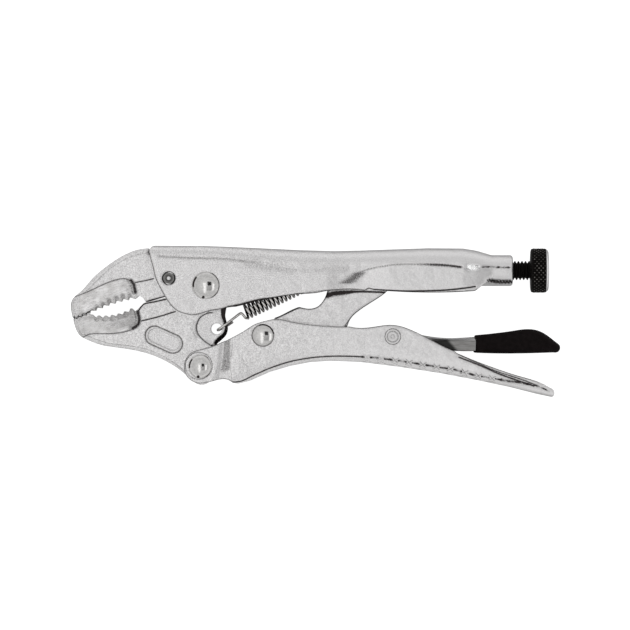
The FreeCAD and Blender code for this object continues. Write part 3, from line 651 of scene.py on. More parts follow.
def upper_handle(material):
    shape = Shape("fixed_handle", "upper_handle_shell", HANDLE_VOXEL, 3)
    shape.shift_edge(*EDGE_RISE, 6.0)
    fine = [REAR_CREASE, BARREL_CREASE, BARREL_SEAM, HANDLE_LIP, HANDLE_RIM, DIMPLE]
    shape.refine(fine, REFINE_REACH)
    x, y = shape.xy.T
    rough = 0.5 + 0.5 * ripple(shape.xy, 1.1, 3)
    spread = smoothstep(15, 45, x)
    # The dark lines below are painted shade: along the creases, under the lower edge, on the lip, the rim and the
    # barrel's seam; CROWN_SHADE is a soft painted shade under the crown.
    shape.carve(UPPER_CREASE, 0.9 + 1.6 * spread, 0.18 + 0.1 * spread, 0.42 - 0.24 * spread)
    shape.carve(CROWN_SHADE, 2.4, 0.1, 0.26)
    fade = 0.4 + 0.35 * smoothstep(110, 122, x)
    shape.carve(REAR_CREASE, 0.55 + 0.3 * smoothstep(108, 116, x), 0.25, 0.8, fade + 0.3 * rough)
    shape.carve(BARREL_CREASE, 0.65, 0.2, 0.72, 0.8 + 0.3 * ripple(shape.xy, 3.0, 8))
    shape.carve(BARREL_SEAM, 1.0, 0.8, 1.1, smoothstep(0.95, 1.0, 0.97 + 0.04 * rough))
    shape.carve(HANDLE_UNDER, 0.45 + 0.45 * plateau(x, 9, 12, 28, 36), 0.2, 1.0)
    shape.carve(HANDLE_LIP, 0.4, 0.3, 0.45)
    shape.carve(HANDLE_RIM, 0.5, 0.35, 0.9)
    # EDGE_LIGHT is a painted highlight along the lower edge.
    distance, _, _ = from_path(shape.xy, EDGE_LIGHT)
    shape.brighten(0.45 * bell(distance, 0.75))
    dimple(shape)
    blob_highlight = shoulder_blob(shape)
    front = (x < 141) & (y < 17)
    # round_edges paints shade along the rims.
    shape.round_edges(HANDLE_FACE, 0.8, 0.3, front, HANDLE_INNER, 0.62)
    # The shoulder's blob is painted white as a highlight.
    shape.groove = shape.groove * (1 - blob_highlight) - blob_highlight
    shape.finish("frame", "nickel_plate", material)


def dimple(shape):
    """The dent where the handle's walls narrow, with painted shade over it and darker painted shade along its
    edge.
    """
    x, y = shape.xy.T
    distance, _, side = from_path(shape.xy, DIMPLE)
    reach = np.where(side > 0, smoothstep(14, 0, distance), smoothstep(3.2, 0, distance) * (side <= 0))
    window = plateau(y, -12, -6, 7, 14) * plateau(x, 58, 70, 80, 88)
    shape.press(0.55 * reach * window)
    shape.darken(0.17 * reach * window)
    shape.darken(0.56 * smoothstep(5.0, 0.2, distance) * plateau(y, -0.4, 1.6, 6.0, 8.6))


def shoulder_blob(shape):
    """The tilted spot on the barrel's shoulder where a highlight is painted; returns its share per vertex."""
    x, y = shape.xy.T
    off_x, off_y = x - SHOULDER_BLOB[0], y - SHOULDER_BLOB[1]
    blob = np.hypot(off_x / 4.8, off_y / 2.0)
    tilt = 0.16 * off_y + 0.05 * off_x
    shape.press(-tilt * smoothstep(1.1, 0.6, blob))
    return smoothstep(1.0, 0.6, blob)


# ---------- lower handle

LOWER_CREASE = smooth_path([(13.9, -50.4), (18.9, -49.6), (24.9, -46.7), (34.2, -42.7), (43.5, -39.7),
                            (53.4, -37.8), (63.4, -36.9), (73.3, -36.8), (83.9, -37.3), (92.5, -38.1),
                            (105.8, -40.0), (119.0, -42.2), (129.7, -43.9), (139.8, -46.6), (153.7, -49.1),
                            (166.0, -50.9), (172.6, -52.3), (178.6, -55.1)])
GRIP_START, GRIP_END, GRIP_PITCH = 84.0, 151.0, 7.2
TAIL_EDGE = smooth_path([(131.6, -37.3), (143.5, -42.0), (152.5, -46.0), (163.2, -49.8), (170.6, -52.3)])
TAIL_TOP = smooth_path([(131.6, -35.9), (141.7, -40.5), (150.7, -44.5), (164.1, -48.9), (172.2, -52.0)])
JOGGLE = smooth_path([(11.5, -29.0), (11.1, -34), (10.6, -39), (9.8, -44), (8.8, -48)])
JOGGLE_BORDER = smooth_path([(14.2, -29.5), (13.4, -36), (13.0, -42), (13.6, -48)])
JOGGLE_SHINE = (11.6, -46.2)
KNUCKLE_RING = (-3.6, -41.8, 7.0)
SHOULDER_X = (8.2, 10.8, 13.4, 19.3, 24.5, 26.7, 29.7, 35.5)
SHOULDER_Y = (-29.6, -28.6, -27.3, -24.1, -20.7, -19.7, -18.8, -17.4)


def crease_y(x):
    """The height of the lower handle's crease."""
    return np.interp(x, LOWER_CREASE[:, 0], LOWER_CREASE[:, 1])


def grip_strokes():
    """The small X marks between the dashes along the crease."""
    strokes = []
    for x in np.arange(GRIP_START, GRIP_END, GRIP_PITCH):
        slope = (crease_y(x + 1) - crease_y(x - 1)) / 2
        along = np.array([1.0, slope])
        up = np.array([-slope, 1.0])
        middle = np.array([x, crease_y(x)])
        for tilt in (-1, 1):
            half = along * 1.5 * tilt + up * 1.2
            strokes.append(np.array([middle - half, middle + half]))
    return strokes


def grip_wave():
    """The wavy line in the band below the dashes."""
    x = np.arange(GRIP_START - 2, GRIP_END, 0.4)
    phase = (x - GRIP_START) / GRIP_PITCH
    return np.stack([x, crease_y(x) - 2.5 + 0.7 * np.cos(2 * np.pi * phase)], axis=1)


def cap(shape, below):
    """Bring what stands above the shoulder's line down to it, or a little below it."""
    x, y = shape.xy.T
    chosen = (x > SHOULDER_X[0]) & (x < SHOULDER_X[-1])
    line = np.interp(x, SHOULDER_X, SHOULDER_Y) - below
    shape.co[:, 1] = np.where(chosen, np.minimum(y, line), y)


def lower_handle(material):
    shape = Shape("lower_handle", "lower_handle_shell", HANDLE_VOXEL, 3)
    cap(shape, 0.0)
    strokes = grip_strokes()
    shape.refine([LOWER_CREASE, TAIL_EDGE, TAIL_TOP, JOGGLE], REFINE_REACH)
    shape.refine(strokes, 1.0)
    x, y = shape.xy.T
    distance, _, side = from_path(shape.xy, LOWER_CREASE)
    above = np.where(side > 0, distance, -distance)
    body = plateau(x, 14, 18, 160, 178)
    shape.press(body * 0.45 * smoothstep(5.0, 0.0, above) * (above > -6))
    # Painted shade on the band below the crease, a soft painted shade line above it, and a painted highlight band
    # between them.
    shape.darken(0.15 * body * smoothstep(-0.3, -1.0, above))
    soft_line = bell(above - 5.6, 0.8) * plateau(x, 16, 24, 44, 60)
    shape.press(0.12 * soft_line)
    shape.darken(0.14 * soft_line)
    shape.brighten(0.32 * bell(above - 2.8, 1.5) * plateau(x, 16, 30, 90, 130))
    grip = (x > GRIP_START - 3) & (x < GRIP_END + 2)
    phase = ((x - GRIP_START) / GRIP_PITCH) % 1
    dash = np.where(grip, plateau(phase, 0.12, 0.24, 0.78, 0.9), 1.0)
    width = np.where(grip, 0.7, 0.45 + 0.5 * plateau(x, 150, 154, 166, 178))
    line = bell(distance, width) * dash * smoothstep(13.2, 14.2, x)
    shape.press(0.45 * line)
    uneven = 0.66 + 0.24 * ripple(shape.xy, 3.2, 4)
    shape.darken(np.where(x > 80, uneven, 0.82) * line)
    for stroke in strokes:
        shape.carve(stroke, 0.34, 0.25, 0.26 + 0.2 * smoothstep(88, 104, stroke[0, 0]))
    wave = np.sin(2 * np.pi * phase) * grip
    shape.press(0.35 * wave * plateau(above, -4.5, -3.0, -1.6, -0.5))
    shape.carve(grip_wave(), 0.4, 0.2, 0.36)
    # The tail's edge and top lines are painted shade.
    shape.carve(TAIL_EDGE, 0.45, 0.35, 0.9)
    shape.carve(TAIL_TOP, 0.4, 0.2, 0.75)
    joggle(shape)
    ring = np.hypot(x - KNUCKLE_RING[0], y - KNUCKLE_RING[1]) - KNUCKLE_RING[2]
    circle = bell(ring, 0.35) * (y < -33)
    shape.press(0.15 * circle)
    shape.darken(0.62 * circle)
    # round_edges paints shade along the rims.
    shape.round_edges(HANDLE_FACE, 0.8, 0.3, True, HANDLE_INNER, 0.5)
    shape.finish("moving_handle", "nickel_plate", material)


def joggle(shape):
    """The stepped band where the ears stand out beside the knuckle, with painted shade on its slope and border,
    and a painted highlight spot.
    """
    x, y = shape.xy.T
    distance, _, side = from_path(shape.xy, JOGGLE)
    slope = np.where(side > 0, 1, -1) * distance
    shape.press(-0.45 * smoothstep(-2.0, -4.5, slope) * plateau(x, 0, 3, 14, 24))
    reach = np.where(side > 0, 2.4 + 2.0 * smoothstep(-31, -46, y), 3.2)
    shape.darken(0.44 * smoothstep(reach, 0.4 * reach, distance) * smoothstep(-48.5, -43, y))
    shape.darken(0.2 * smoothstep(6.0, 1.0, distance) * (side < 0))
    shape.carve(JOGGLE_BORDER, 0.3, 0.12, 0.4)
    shine = np.hypot((x - JOGGLE_SHINE[0]) / 1.3, (y - JOGGLE_SHINE[1]) / 2.4)
    shape.groove -= 1.4 * smoothstep(1.0, 0.3, shine)


# ---------- jaws

# Half the thickness over the jaws' cheeks, their web, and the spring's ear.
JAW_FACE = 6.35
WEB_FACE = 5.85
EAR_FACE = 3.2
NOSE_BEVEL_X = -65.5
UPPER_CHEEK = smooth_path([(-68.0, -5.9), (-60.9, -3.1), (-51.6, 1.2), (-47.0, 2.8), (-43.3, 3.5),
                           (-40.3, 3.0), (-38.4, 1.3), (-37.2, -0.9), (-36.5, -3.4)])
LOWER_CHEEK = smooth_path([(-67.0, -28.0), (-62.4, -26.3), (-59.5, -25.2), (-49.8, -25.1), (-44.2, -24.5),
                           (-39.6, -23.4), (-36.3, -21.5), (-34.6, -18.6), (-35.0, -15.6), (-36.2, -12.8)])
UPPER_STEP = smooth_path([(-38.9, 2.6), (-37.4, 0.2), (-36.6, -3.6)])
LOWER_STEP = smooth_path([(-38.0, -22.4), (-35.3, -20.4), (-34.6, -17.6), (-35.4, -13.6)])
UPPER_VALLEYS = [(-39.6, -6.2), (-43.1, -6.5), (-46.4, -7.4), (-50.2, -9.0), (-53.4, -10.8),
                 (-56.4, -12.5), (-59.0, -14.4)]
LOWER_VALLEYS = [(-56.5, -16.4), (-52.1, -16.4), (-48.4, -16.2), (-44.6, -15.2), (-41.6, -14.3)]
UPPER_TEETH = smooth_path([(-69.1, -17.3), (-60.4, -14.8), (-48.9, -10.1), (-36.9, -7.1)])
LOWER_TEETH = smooth_path([(-69.1, -17.4), (-59.2, -15.1), (-49.5, -15.2), (-39.4, -12.0)])
UPPER_WEB_LINE = smooth_path([(-36.6, 1.5), (-31.9, 2.4), (-27.2, 3.5)])
LOWER_WEB_LINE = smooth_path([(-33.5, -18.5), (-25.0, -16.4), (-15.9, -13.6)])
POCKET_LIFT, POCKET_TALL, POCKET_RADIUS, POCKET_DEPTH = 0.6, 1.3, 1.45, 0.8
NOSE_SEAM = np.array([(-69.3, -17.6), (-68.2, -16.6), (-67.2, -17.0), (-66.0, -16.0), (-64.8, -16.2),
                      (-63.6, -15.0), (-62.4, -15.2), (-61.2, -13.9), (-60.0, -13.6)])
UPPER_GAP_EDGE = smooth_path([(-32.0, -9.0), (-27.0, -7.4), (-21.0, -5.9)])
# How the back and the gap's edge are shifted: x, shifts, then the x and y of the edge.
BACK_RISE = ((-66, -58, -45, -36, -30, -27.5), (0, 0.45, 0.75, 0.8, 0.5, 0.1),
             (-65.2, -57.8, -50.4, -42.9, -35.5, -30.3), (-4.4, 5.3, 10.8, 14.6, 16.9, 18.3))
GAP_DROP = ((-34, -32.5, -21, -18), (0, -0.75, -0.75, 0), (-34, -32.2, -21), (-9.4, -8.4, -5.2))
LOWER_GAP_EDGE = smooth_path([(-35.0, -13.2), (-32.2, -9.8), (-27.0, -8.6), (-20.6, -7.2)])
UPPER_BAND = smooth_path([(-63.4, -4.4), (-57.0, 1.9), (-49.9, 8.6), (-42.5, 13.1), (-35.8, 15.9),
                          (-30.4, 16.9)])
LOWER_BAND = smooth_path([(-62.8, -25.6), (-56, -28.5), (-48.2, -30.5), (-39.5, -31.5), (-30.7, -33.2),
                          (-22, -36.9), (-15.5, -41.0), (-11.0, -45.0), (-8.4, -48.4)])
EAR_BEVEL = smooth_path([(3.4, -14.0), (0.5, -14.6), (-2.8, -16.6), (-4.6, -20.2), (-4.5, -23.9),
                         (-2.5, -27.3), (0.5, -29.9), (3.6, -31.8)])
EAR_HOLE = (5.6, -22.6)
EAR_SWELL_Y = (-31, -28, -24, -20, -15, -11)
EAR_SWELL = (0.8, 1.6, 1.2, 1.0, 1.7, 2.5)
OVAL_CENTRE, OVAL_SIZE, OVAL_TILT = (-21.8, -28.2), (20.0, 9.6), -24.0


def jaw_common(shape, valleys, teeth, step, cheek, up):
    """The nose's bevel, darker towards its tip, the step round a cheek, and the pockets above the teeth; painted
    shade lies along the cheek's contour and step, in the pockets, and along the line where the jaws' tips meet.
    """
    x, y = shape.xy.T
    shape.press(0.13 * np.clip(NOSE_BEVEL_X - x, 0, None))
    shape.darken(0.22 * smoothstep(-64.5, -66.5, x))
    shape.carve(cheek, 0.38, 0.08, 0.62)
    shape.carve(step, 1.15, 0.5, 0.74)
    distance, _, _ = from_path(shape.xy, teeth)
    shape.press(0.5 * smoothstep(2.6, 0.2, distance) * smoothstep(-36.0, -37.5, x))
    dark, deep = (0.38, POCKET_DEPTH) if up > 0 else (0.15, 0.4)
    for vx, vy in valleys:
        gap = np.hypot(x - vx, (y - vy - up * POCKET_LIFT) / POCKET_TALL)
        dent = np.clip(1 - (gap / POCKET_RADIUS) ** 2, 0, None)
        shape.press(deep * dent)
        shape.darken(dark * smoothstep(0, 0.6, dent))
    shape.carve(NOSE_SEAM, 0.42, 0.4, 1.0)


def level_web(shape, region):
    """Bring the shelf round the cheeks, and the web in a region, to one face."""
    level = np.abs(shape.co[:, 2])
    shelf = (level > 5.0) & (level < WEB_FACE + 0.1)
    raised = (level > 4.6) & (region > 0.5)
    change = np.where(shelf | raised, WEB_FACE - level, 0)
    change -= np.clip(level - WEB_FACE, 0, None) * region * ~raised
    shape.co[:, 2] += shape.side * change
    inner = raised & (shape.outward < 0.9) & (shape.co[:, 1] > -44)
    shape.relax(np.flatnonzero(inner))


def upper_jaw(plate, cheek):
    shape = Shape("fixed_jaw", "upper_jaw_forging", 0.32, 2)
    x, y = shape.xy.T
    level_web(shape, smoothstep(-33.5, -32.5, x) * smoothstep(-12, -16, x))
    shape.shift_edge(*GAP_DROP, 1.6)
    shape.shift_edge(*BACK_RISE, 5.0)
    shape.refine([UPPER_TEETH, UPPER_CHEEK, UPPER_STEP, UPPER_WEB_LINE], 1.6, 4.5)
    x, y = shape.xy.T
    back_and_nose = (y > -5 + 0.4 * (x + 50)) & (x < -28) | (x < -68.3)
    # The rims, the web line, the gap's edge and the band along the back are painted dark as shade.
    shape.round_edges(JAW_FACE, 1.7, 0.9, back_and_nose, 0.0, 0.3)
    jaw_common(shape, UPPER_VALLEYS, UPPER_TEETH, UPPER_STEP, UPPER_CHEEK, 1)
    shape.carve(UPPER_WEB_LINE, 0.35, 0.25, 0.8)
    shape.carve(UPPER_GAP_EDGE, 0.6, 0.2, 1.0)
    shape.carve(UPPER_BAND, 0.4, 0.12, 0.36)
    shape.finish("frame", "nickel_plate", plate, cheek)
    mark_cheek(shape.piece.data, UPPER_CHEEK, -1)


def near_ear(shape):
    """Whether places are near the ear's free edge, away from its hole."""
    x, y = shape.xy.T
    return (x > 3) & (y > -33) & (np.hypot(x - EAR_HOLE[0], y - EAR_HOLE[1]) > 3.3)


def oval_badge(shape):
    """A blank raised oval with a rounded rim on the lower jaw's web, with painted shade round its foot and along
    its inner step.
    """
    angle = math.radians(OVAL_TILT)
    along = np.array([math.cos(angle), math.sin(angle)])
    across = np.array([-along[1], along[0]])
    offset = shape.xy - np.array(OVAL_CENTRE)
    half_length, half_height = OVAL_SIZE[0] / 2, OVAL_SIZE[1] / 2
    u = np.clip(np.abs(offset @ along) - (half_length - half_height), 0, None)
    inside = half_height - np.hypot(u, offset @ across)
    shape.press(-0.32 * smoothstep(-0.1, 0.5, inside))
    shape.press(0.16 * smoothstep(1.0, 1.6, inside))
    outline = bell(inside + 0.15, 0.4)
    shape.press(0.12 * outline)
    shape.darken(0.72 * outline)
    shape.darken(0.42 * bell(inside - 1.25, 0.34))


def ear_edge(shape):
    """The ear's thick rounded edge: its walls bulge outwards and are painted dark as shade."""
    x, y = shape.xy.T
    wall = (np.abs(shape.normal[:, 2]) < 0.6) & near_ear(shape) & (x > 3.6)
    swell = np.interp(y, EAR_SWELL_Y, EAR_SWELL) * wall
    swell *= smoothstep(3.3, 1.8, np.abs(shape.co[:, 2]))
    shape.co[:, :2] += shape.normal[:, :2] * swell[:, None]
    shape.groove = np.maximum(shape.groove, 1.0 * wall)


def lower_jaw(plate, cheek):
    shape = Shape("lower_jaw", "lower_jaw_forging", 0.34, 2)
    x, y = shape.xy.T
    level_web(shape, plateau(x, -32.5, -31.5, -1.0, 3.0) * smoothstep(-11.5, -13.5, y))
    shape.refine([LOWER_TEETH, LOWER_CHEEK, LOWER_STEP, LOWER_WEB_LINE], 1.6, 4.5)
    x, y = shape.xy.T
    back_and_nose = (y < -20) & (x < -4) | (x < -68.0)
    # The rims, the ear's rim, the web line, the gap's edge, the band along the back and the ear's bevel are
    # painted dark as shade.
    shape.round_edges(JAW_FACE, 2.0, 1.0, back_and_nose, 0.0, 0.3)
    shape.round_edges(EAR_FACE, 1.0, 0.6, near_ear(shape), 0.0, 0.8)
    jaw_common(shape, LOWER_VALLEYS, LOWER_TEETH, LOWER_STEP, LOWER_CHEEK, -1)
    shape.carve(LOWER_WEB_LINE, 0.4, 0.35, 0.85)
    shape.carve(LOWER_GAP_EDGE, 0.4, 0.2, 1.0)
    shape.carve(LOWER_BAND, 0.36, 0.12, 0.45)
    shape.carve(EAR_BEVEL, 0.36, 0.2, 0.72)
    # The lower cheek is painted darker as shade, most towards its back.
    lower_cheek_shade = (0.2 + 0.16 * smoothstep(-58, -44, x)) * smoothstep(-24.5, -21, y)
    shape.darken(lower_cheek_shade * (x < -36) * (x > -64))
    oval_badge(shape)
    ear_edge(shape)
    shape.finish("moving_jaw", "nickel_plate", plate, cheek)
    mark_cheek(shape.piece.data, LOWER_CHEEK, 1)


def mark_cheek(mesh, contour, inner_side):
    """Give the polished finish to the faces of a cheek, on the given side of its contour."""
    centres = (rows(mesh.polygons, "center") - ORIGIN) / MM
    x, z = centres[:, 0], np.abs(centres[:, 2])
    distance, _, side = from_path(centres[:, :2], contour)
    on_cheek = (side == inner_side) & (x < -35) & (x > NOSE_BEVEL_X - 0.5)
    on_cheek &= (z > 4.6) & (distance > 0.3)
    mesh.polygons.foreach_set("material_index", on_cheek.astype(np.int32))


# ---------- link, lever and sleeve

# Half the thickness of the link, the lever's bar, and the sleeve.
LINK_FACE, LEVER_FACE, SLEEVE_FACE = 5.2, 5.0, 6.3
LINK_BEVEL = smooth_path([(92.6, -5.8), (86, -10.2), (79.8, -14.4), (74.3, -18.4), (72.0, -22.4)])
LINK_TOP = smooth_path([(36.5, -17.1), (43, -14.0), (48.3, -11.6), (50.6, -11.4)])
LINK_SHADE = smooth_path([(62.0, -5.6), (66.0, -4.4), (70.0, -3.9), (78, -3.3), (90, -3.5), (96, -3.9)])


def toggle_link(plate):
    shape = Shape("toggle_link", "toggle_link_plate", 0.5, 2)
    shape.refine([LINK_BEVEL, LINK_SHADE], 1.6)
    cap(shape, 0.3)
    # The rims, the bevel line, the top edge and the strip under the handle's edge are painted dark as shade.
    shape.round_edges(LINK_FACE, 1.1, 0.5, True, 0.0, 0.5)
    shape.carve(LINK_BEVEL, 0.35, 0.12, 0.62)
    shape.carve(LINK_TOP, 0.5, 0.1, 0.9)
    shape.carve(LINK_SHADE, 0.55 + 0.95 * smoothstep(82, 68, shape.co[:, 0]), 0.0, 1.0)
    shape.finish("link", "nickel_plate", plate)


def release_lever(steel):
    shape = Shape("release_lever", "release_lever_bar", 0.4, 2)
    x, y = shape.xy.T
    shape.round_edges(LEVER_FACE, 2.4, 2.4, y > -29.5, 3.4)
    # The corner under the handle's edge is painted dark as shade, and a highlight is painted along the top.
    corner = smoothstep(1.0, -1.5, (x - 128.6) + 0.9 * (y + 31.0))
    shape.groove = np.maximum(shape.groove, 0.92 * corner * smoothstep(-27.6, -28.8, y))
    top = np.interp(x, (112, 120, 128, 140), (-26.7, -27.3, -27.8, -27.9))
    shape.brighten(0.8 * bell(y - top, 0.5))
    shape.finish("release", "dark_steel", steel)


def lever_sleeve(vinyl):
    shape = Shape("lever_sleeve", "lever_sleeve_grip", 0.5, 6)
    shape.round_edges(SLEEVE_FACE, 3.6, 2.2, True, 5.3)
    shape.finish("release", "black_vinyl", vinyl)


# ---------- turned pieces


def make_piece(name, points, faces, materials, indices=None):
    """A mesh from points in millimetres about the main pivot."""
    mesh = bpy.data.meshes.new(name)
    mesh.from_pydata([at(*p) for p in points], [], faces)
    for material in materials:
        mesh.materials.append(material)
    if indices is not None:
        mesh.polygons.foreach_set("material_index", indices)
    mesh.shade_smooth()
    mesh.update()
    return add_object(name, mesh)


def lathe(profile, segments):
    """Points and faces of a closed profile (radius, height) turned about the z axis."""
    points, faces, rings = [], [], []
    for radius, height in profile:
        if radius < 1e-6:
            rings.append([len(points)])
            points.append((0.0, 0.0, height))
            continue
        rings.append(list(range(len(points), len(points) + segments)))
        for i in range(segments):
            angle = 2 * math.pi * i / segments
            points.append((radius * math.cos(angle), radius * math.sin(angle), height))
    for low, high in zip(rings, rings[1:]):
        for i in range(segments):
            j = (i + 1) % segments
            corners = [low[i % len(low)], low[j % len(low)], high[j % len(high)], high[i % len(high)]]
            faces.append(list(dict.fromkeys(corners)))
    return points, faces


def turned(name, profile, centre, segments, material):
    """A piece turned about an upright axis, with each point's radius, angle and height."""
    points, faces = lathe(profile, segments)
    moved = [(centre[0] + x, centre[1] + y, z) for x, y, z in points]
    piece = make_piece(name, moved, faces, [material])
    x, y, z = np.array(points).T
    return piece, np.hypot(x, y), np.degrees(np.arctan2(y, x)), z


def ring_faces(count, around):
    """Faces of a tube of rings of points, with its two ends closed."""
    faces = []
    for ring in range(count - 1):
        low, high = ring * around, (ring + 1) * around
        for i in range(around):
            j = (i + 1) % around
            faces.append((low + i, low + j, high + j, high + i))
    faces.append(list(reversed(range(around))))
    faces.append([(count - 1) * around + i for i in range(around)])
    return faces


def rivet_profile(node, head, flange, face, rise):
    """A shallow dome inside a sloping ring in front, and a flat, bevelled head at the back."""
    back = cad_range(node, 2)[0]
    shank = head * 0.6
    profile = [(0, back), (head - 0.5, back), (head - 0.1, back + 0.4), (head, -face)]
    profile += [(shank, -face + 0.01), (shank, face), (head, face), (head, face + 0.1)]
    profile += [(head - 0.25, face + 0.28), (flange + 0.25, face + 0.62)]
    profile += [(flange + 0.05, face + 0.58), (flange, face + 0.5)]
    sphere = (flange**2 + (rise - 0.5) ** 2) / (2 * (rise - 0.5))
    for i in range(1, 25):
        radius = flange * (1 - i / 24)
        profile.append((radius, face + rise - sphere + math.sqrt(sphere**2 - radius**2)))
    return profile


def arc(angle, low, high, soft=14):
    """1 between two angles in degrees, fading over soft degrees beyond them."""
    middle, half = (low + high) / 2, (high - low) / 2
    away = np.abs((angle - middle + 180) % 360 - 180)
    return smoothstep(half + soft, half, away)


def wide_rim(radius, angle, head, flange):
    """Painted shade on a wide sloping ring: its edge, an arc on its left and a spot below."""
    edge = 0.35 * arc(angle, -60, 60) + 0.28
    rim = np.where(radius > head - 0.3, edge, 0.3 * (radius > flange - 0.1))
    left = arc(angle, 142, 184, 8) * (np.abs(radius - flange) < 0.3)
    spot = smoothstep(1.0, 0.5, np.hypot(radius - flange + 0.1, np.radians(angle + 101) * flange))
    return np.maximum(np.maximum(rim, left), spot)


def narrow_rim(radius, angle, head, flange):
    """Painted shade on a narrow ring, darkest at its upper right."""
    return np.maximum(0.5 * (radius > flange - 0.3), arc(angle, 15, 105) * (radius > flange - 0.35))


SOCKET_FACE = 9.6
# Each rivet: node, name, body, centre, radii of head and dome, face, rise and rim shade.
RIVETS = (
    ("main_pivot_rivet", "main_rivet_dome", "frame", (0, 0), 7.25, 6.35, HANDLE_FACE, 2.4, wide_rim),
    ("jaw_handle_rivet", "knuckle_rivet_dome", "moving_handle", KNUCKLE, 6.2, 5.5, HANDLE_FACE, 2.4,
     wide_rim),
    ("link_rivet", "link_rivet_dome", "moving_handle", LINK_PIVOT, 5.95, 5.55, SOCKET_FACE, 1.9,
     narrow_rim),
)


def rivet(node, name, body, centre, head, flange, face, rise, rim, material):
    """A domed rivet, with shade painted round its rim."""
    profile = rivet_profile(node, head, flange, face, rise)
    piece, radius, angle, height = turned(name, profile, centre, 96, material)
    store_dirt_and_light(piece.data, rim(radius, angle, head, flange) * (height > face + 0.02))
    settle(piece, body, node)


# Half of each profile, as radius and height above the face, and the rings of the roll painted dark as shade.
ROLL = ((4.25, 0), (4.25, 0.25), (4.05, 0.55), (3.6, 0.75), (3.15, 0.7), (2.9, 0.35), (2.65, 0.3),
        (2.45, 0.55), (1.9, 0.62), (1.3, 0.5), (1.05, 0.25), (0.8, 0.2), (0.6, 0.4), (0, 0.45))
ROLL_SHANK = 2.9
ROLL_RINGS = ((4.2, 0.4, 0.62), (2.8, 0.36, 0.5), (0.95, 0.35, 0.4))
DISH = ((2.9, -0.1), (2.8, 0.1), (2.6, 0.1), (2.2, -0.45), (1.5, -0.8), (1.15, -0.75), (0.95, -0.1),
        (0.7, 0.02), (0, 0.06))


def mirrored(half, face, shank=()):
    """A whole profile from its upper half: the lower end, a shank and the upper end."""
    lower = [(r, -face - h) for r, h in reversed(half)]
    return lower + [(r, end) for r in shank for end in (-face, face)] + [(r, face + h) for r, h in half]


def rolled_rivet(material):
    """The release lever's rivet: hollow, with its end rolled outwards."""
    profile = mirrored(ROLL, SOCKET_FACE, (ROLL_SHANK,))
    piece, radius, _, _ = turned("rolled_rivet", profile, LEVER_PIVOT, 56, material)
    store_dirt_and_light(piece.data, sum(dark * bell(radius - r, width) for r, width, dark in ROLL_RINGS))
    settle(piece, "moving_handle", "release_lever_rivet")


def jaw_pin(material):
    """The fixed jaw's pin: a dished ring painted dark as shade round a bright centre."""
    centre = [sum(cad_range("fixed_jaw_pin", axis)) / 2 for axis in (0, 1)]
    profile = mirrored(DISH, HANDLE_FACE)
    piece, radius, _, _ = turned("fixed_jaw_pin_end", profile, centre, 48, material)
    store_dirt_and_light(piece.data, np.where(radius > 1.05, 0.1 + 0.5 * (radius < 1.8), -0.7))
    settle(piece, "frame", "fixed_jaw_pin")


# ---------- screw and knob


SHANK_IN_KNOB = 6.0
KNOB_RADIUS = 11.55
DIAMONDS, DIAMOND_PITCH, KNURL_DEPTH = 30, 2.2, 0.6


def screw_thread(material):
    """The adjusting screw's thread, as rings whose radius follows the helix."""
    start, end = cad_range("adjusting_screw", 0)
    end -= SHANK_IN_KNOB
    crest, root = 4.95, 3.95
    around, per_pitch = 40, 12
    steps = int((end - start) / SCREW_PITCH * per_pitch)
    points = []
    for step in range(steps + 1):
        x = start + (end - start) * step / steps
        tip = smoothstep(0.0, 3.0, np.array(x - start))
        for i in range(around):
            angle = 2 * math.pi * i / around
            phase = (x / SCREW_PITCH - i / around) % 1
            height = min(1.0, max(0.0, 1.9 * abs(2 * phase - 1) - 0.45))
            radius = (root + (crest - root) * height) * (0.55 + 0.45 * float(tip))
            points.append((x, SCREW_Y + radius * math.cos(angle), radius * math.sin(angle)))
    piece = make_piece("screw_thread", points, ring_faces(steps + 1, around), [material])
    settle(piece, "knob", "adjusting_screw")


def knurl_cut(x, turn, low, high, luck):
    """How deep the knurl is cut at a place, and how bright a highlight is painted on its points (below 0)."""
    row = (x - low) / DIAMOND_PITCH
    wave = min(abs(math.sin(math.pi * (turn + row))), abs(math.sin(math.pi * (turn - row))))
    edge = max(0.0, min(1.0, (x - low) / 0.7, (high - x) / 0.7))
    cut = KNURL_DEPTH * (1 - min(1.0, 1.15 * wave)) * edge + 0.18 * (1 - edge)
    point_highlight = luck[round(turn + row) % len(luck), round(turn - row) % len(luck)]
    return cut, -point_highlight * max(0.0, (wave - 0.8) / 0.2) * edge


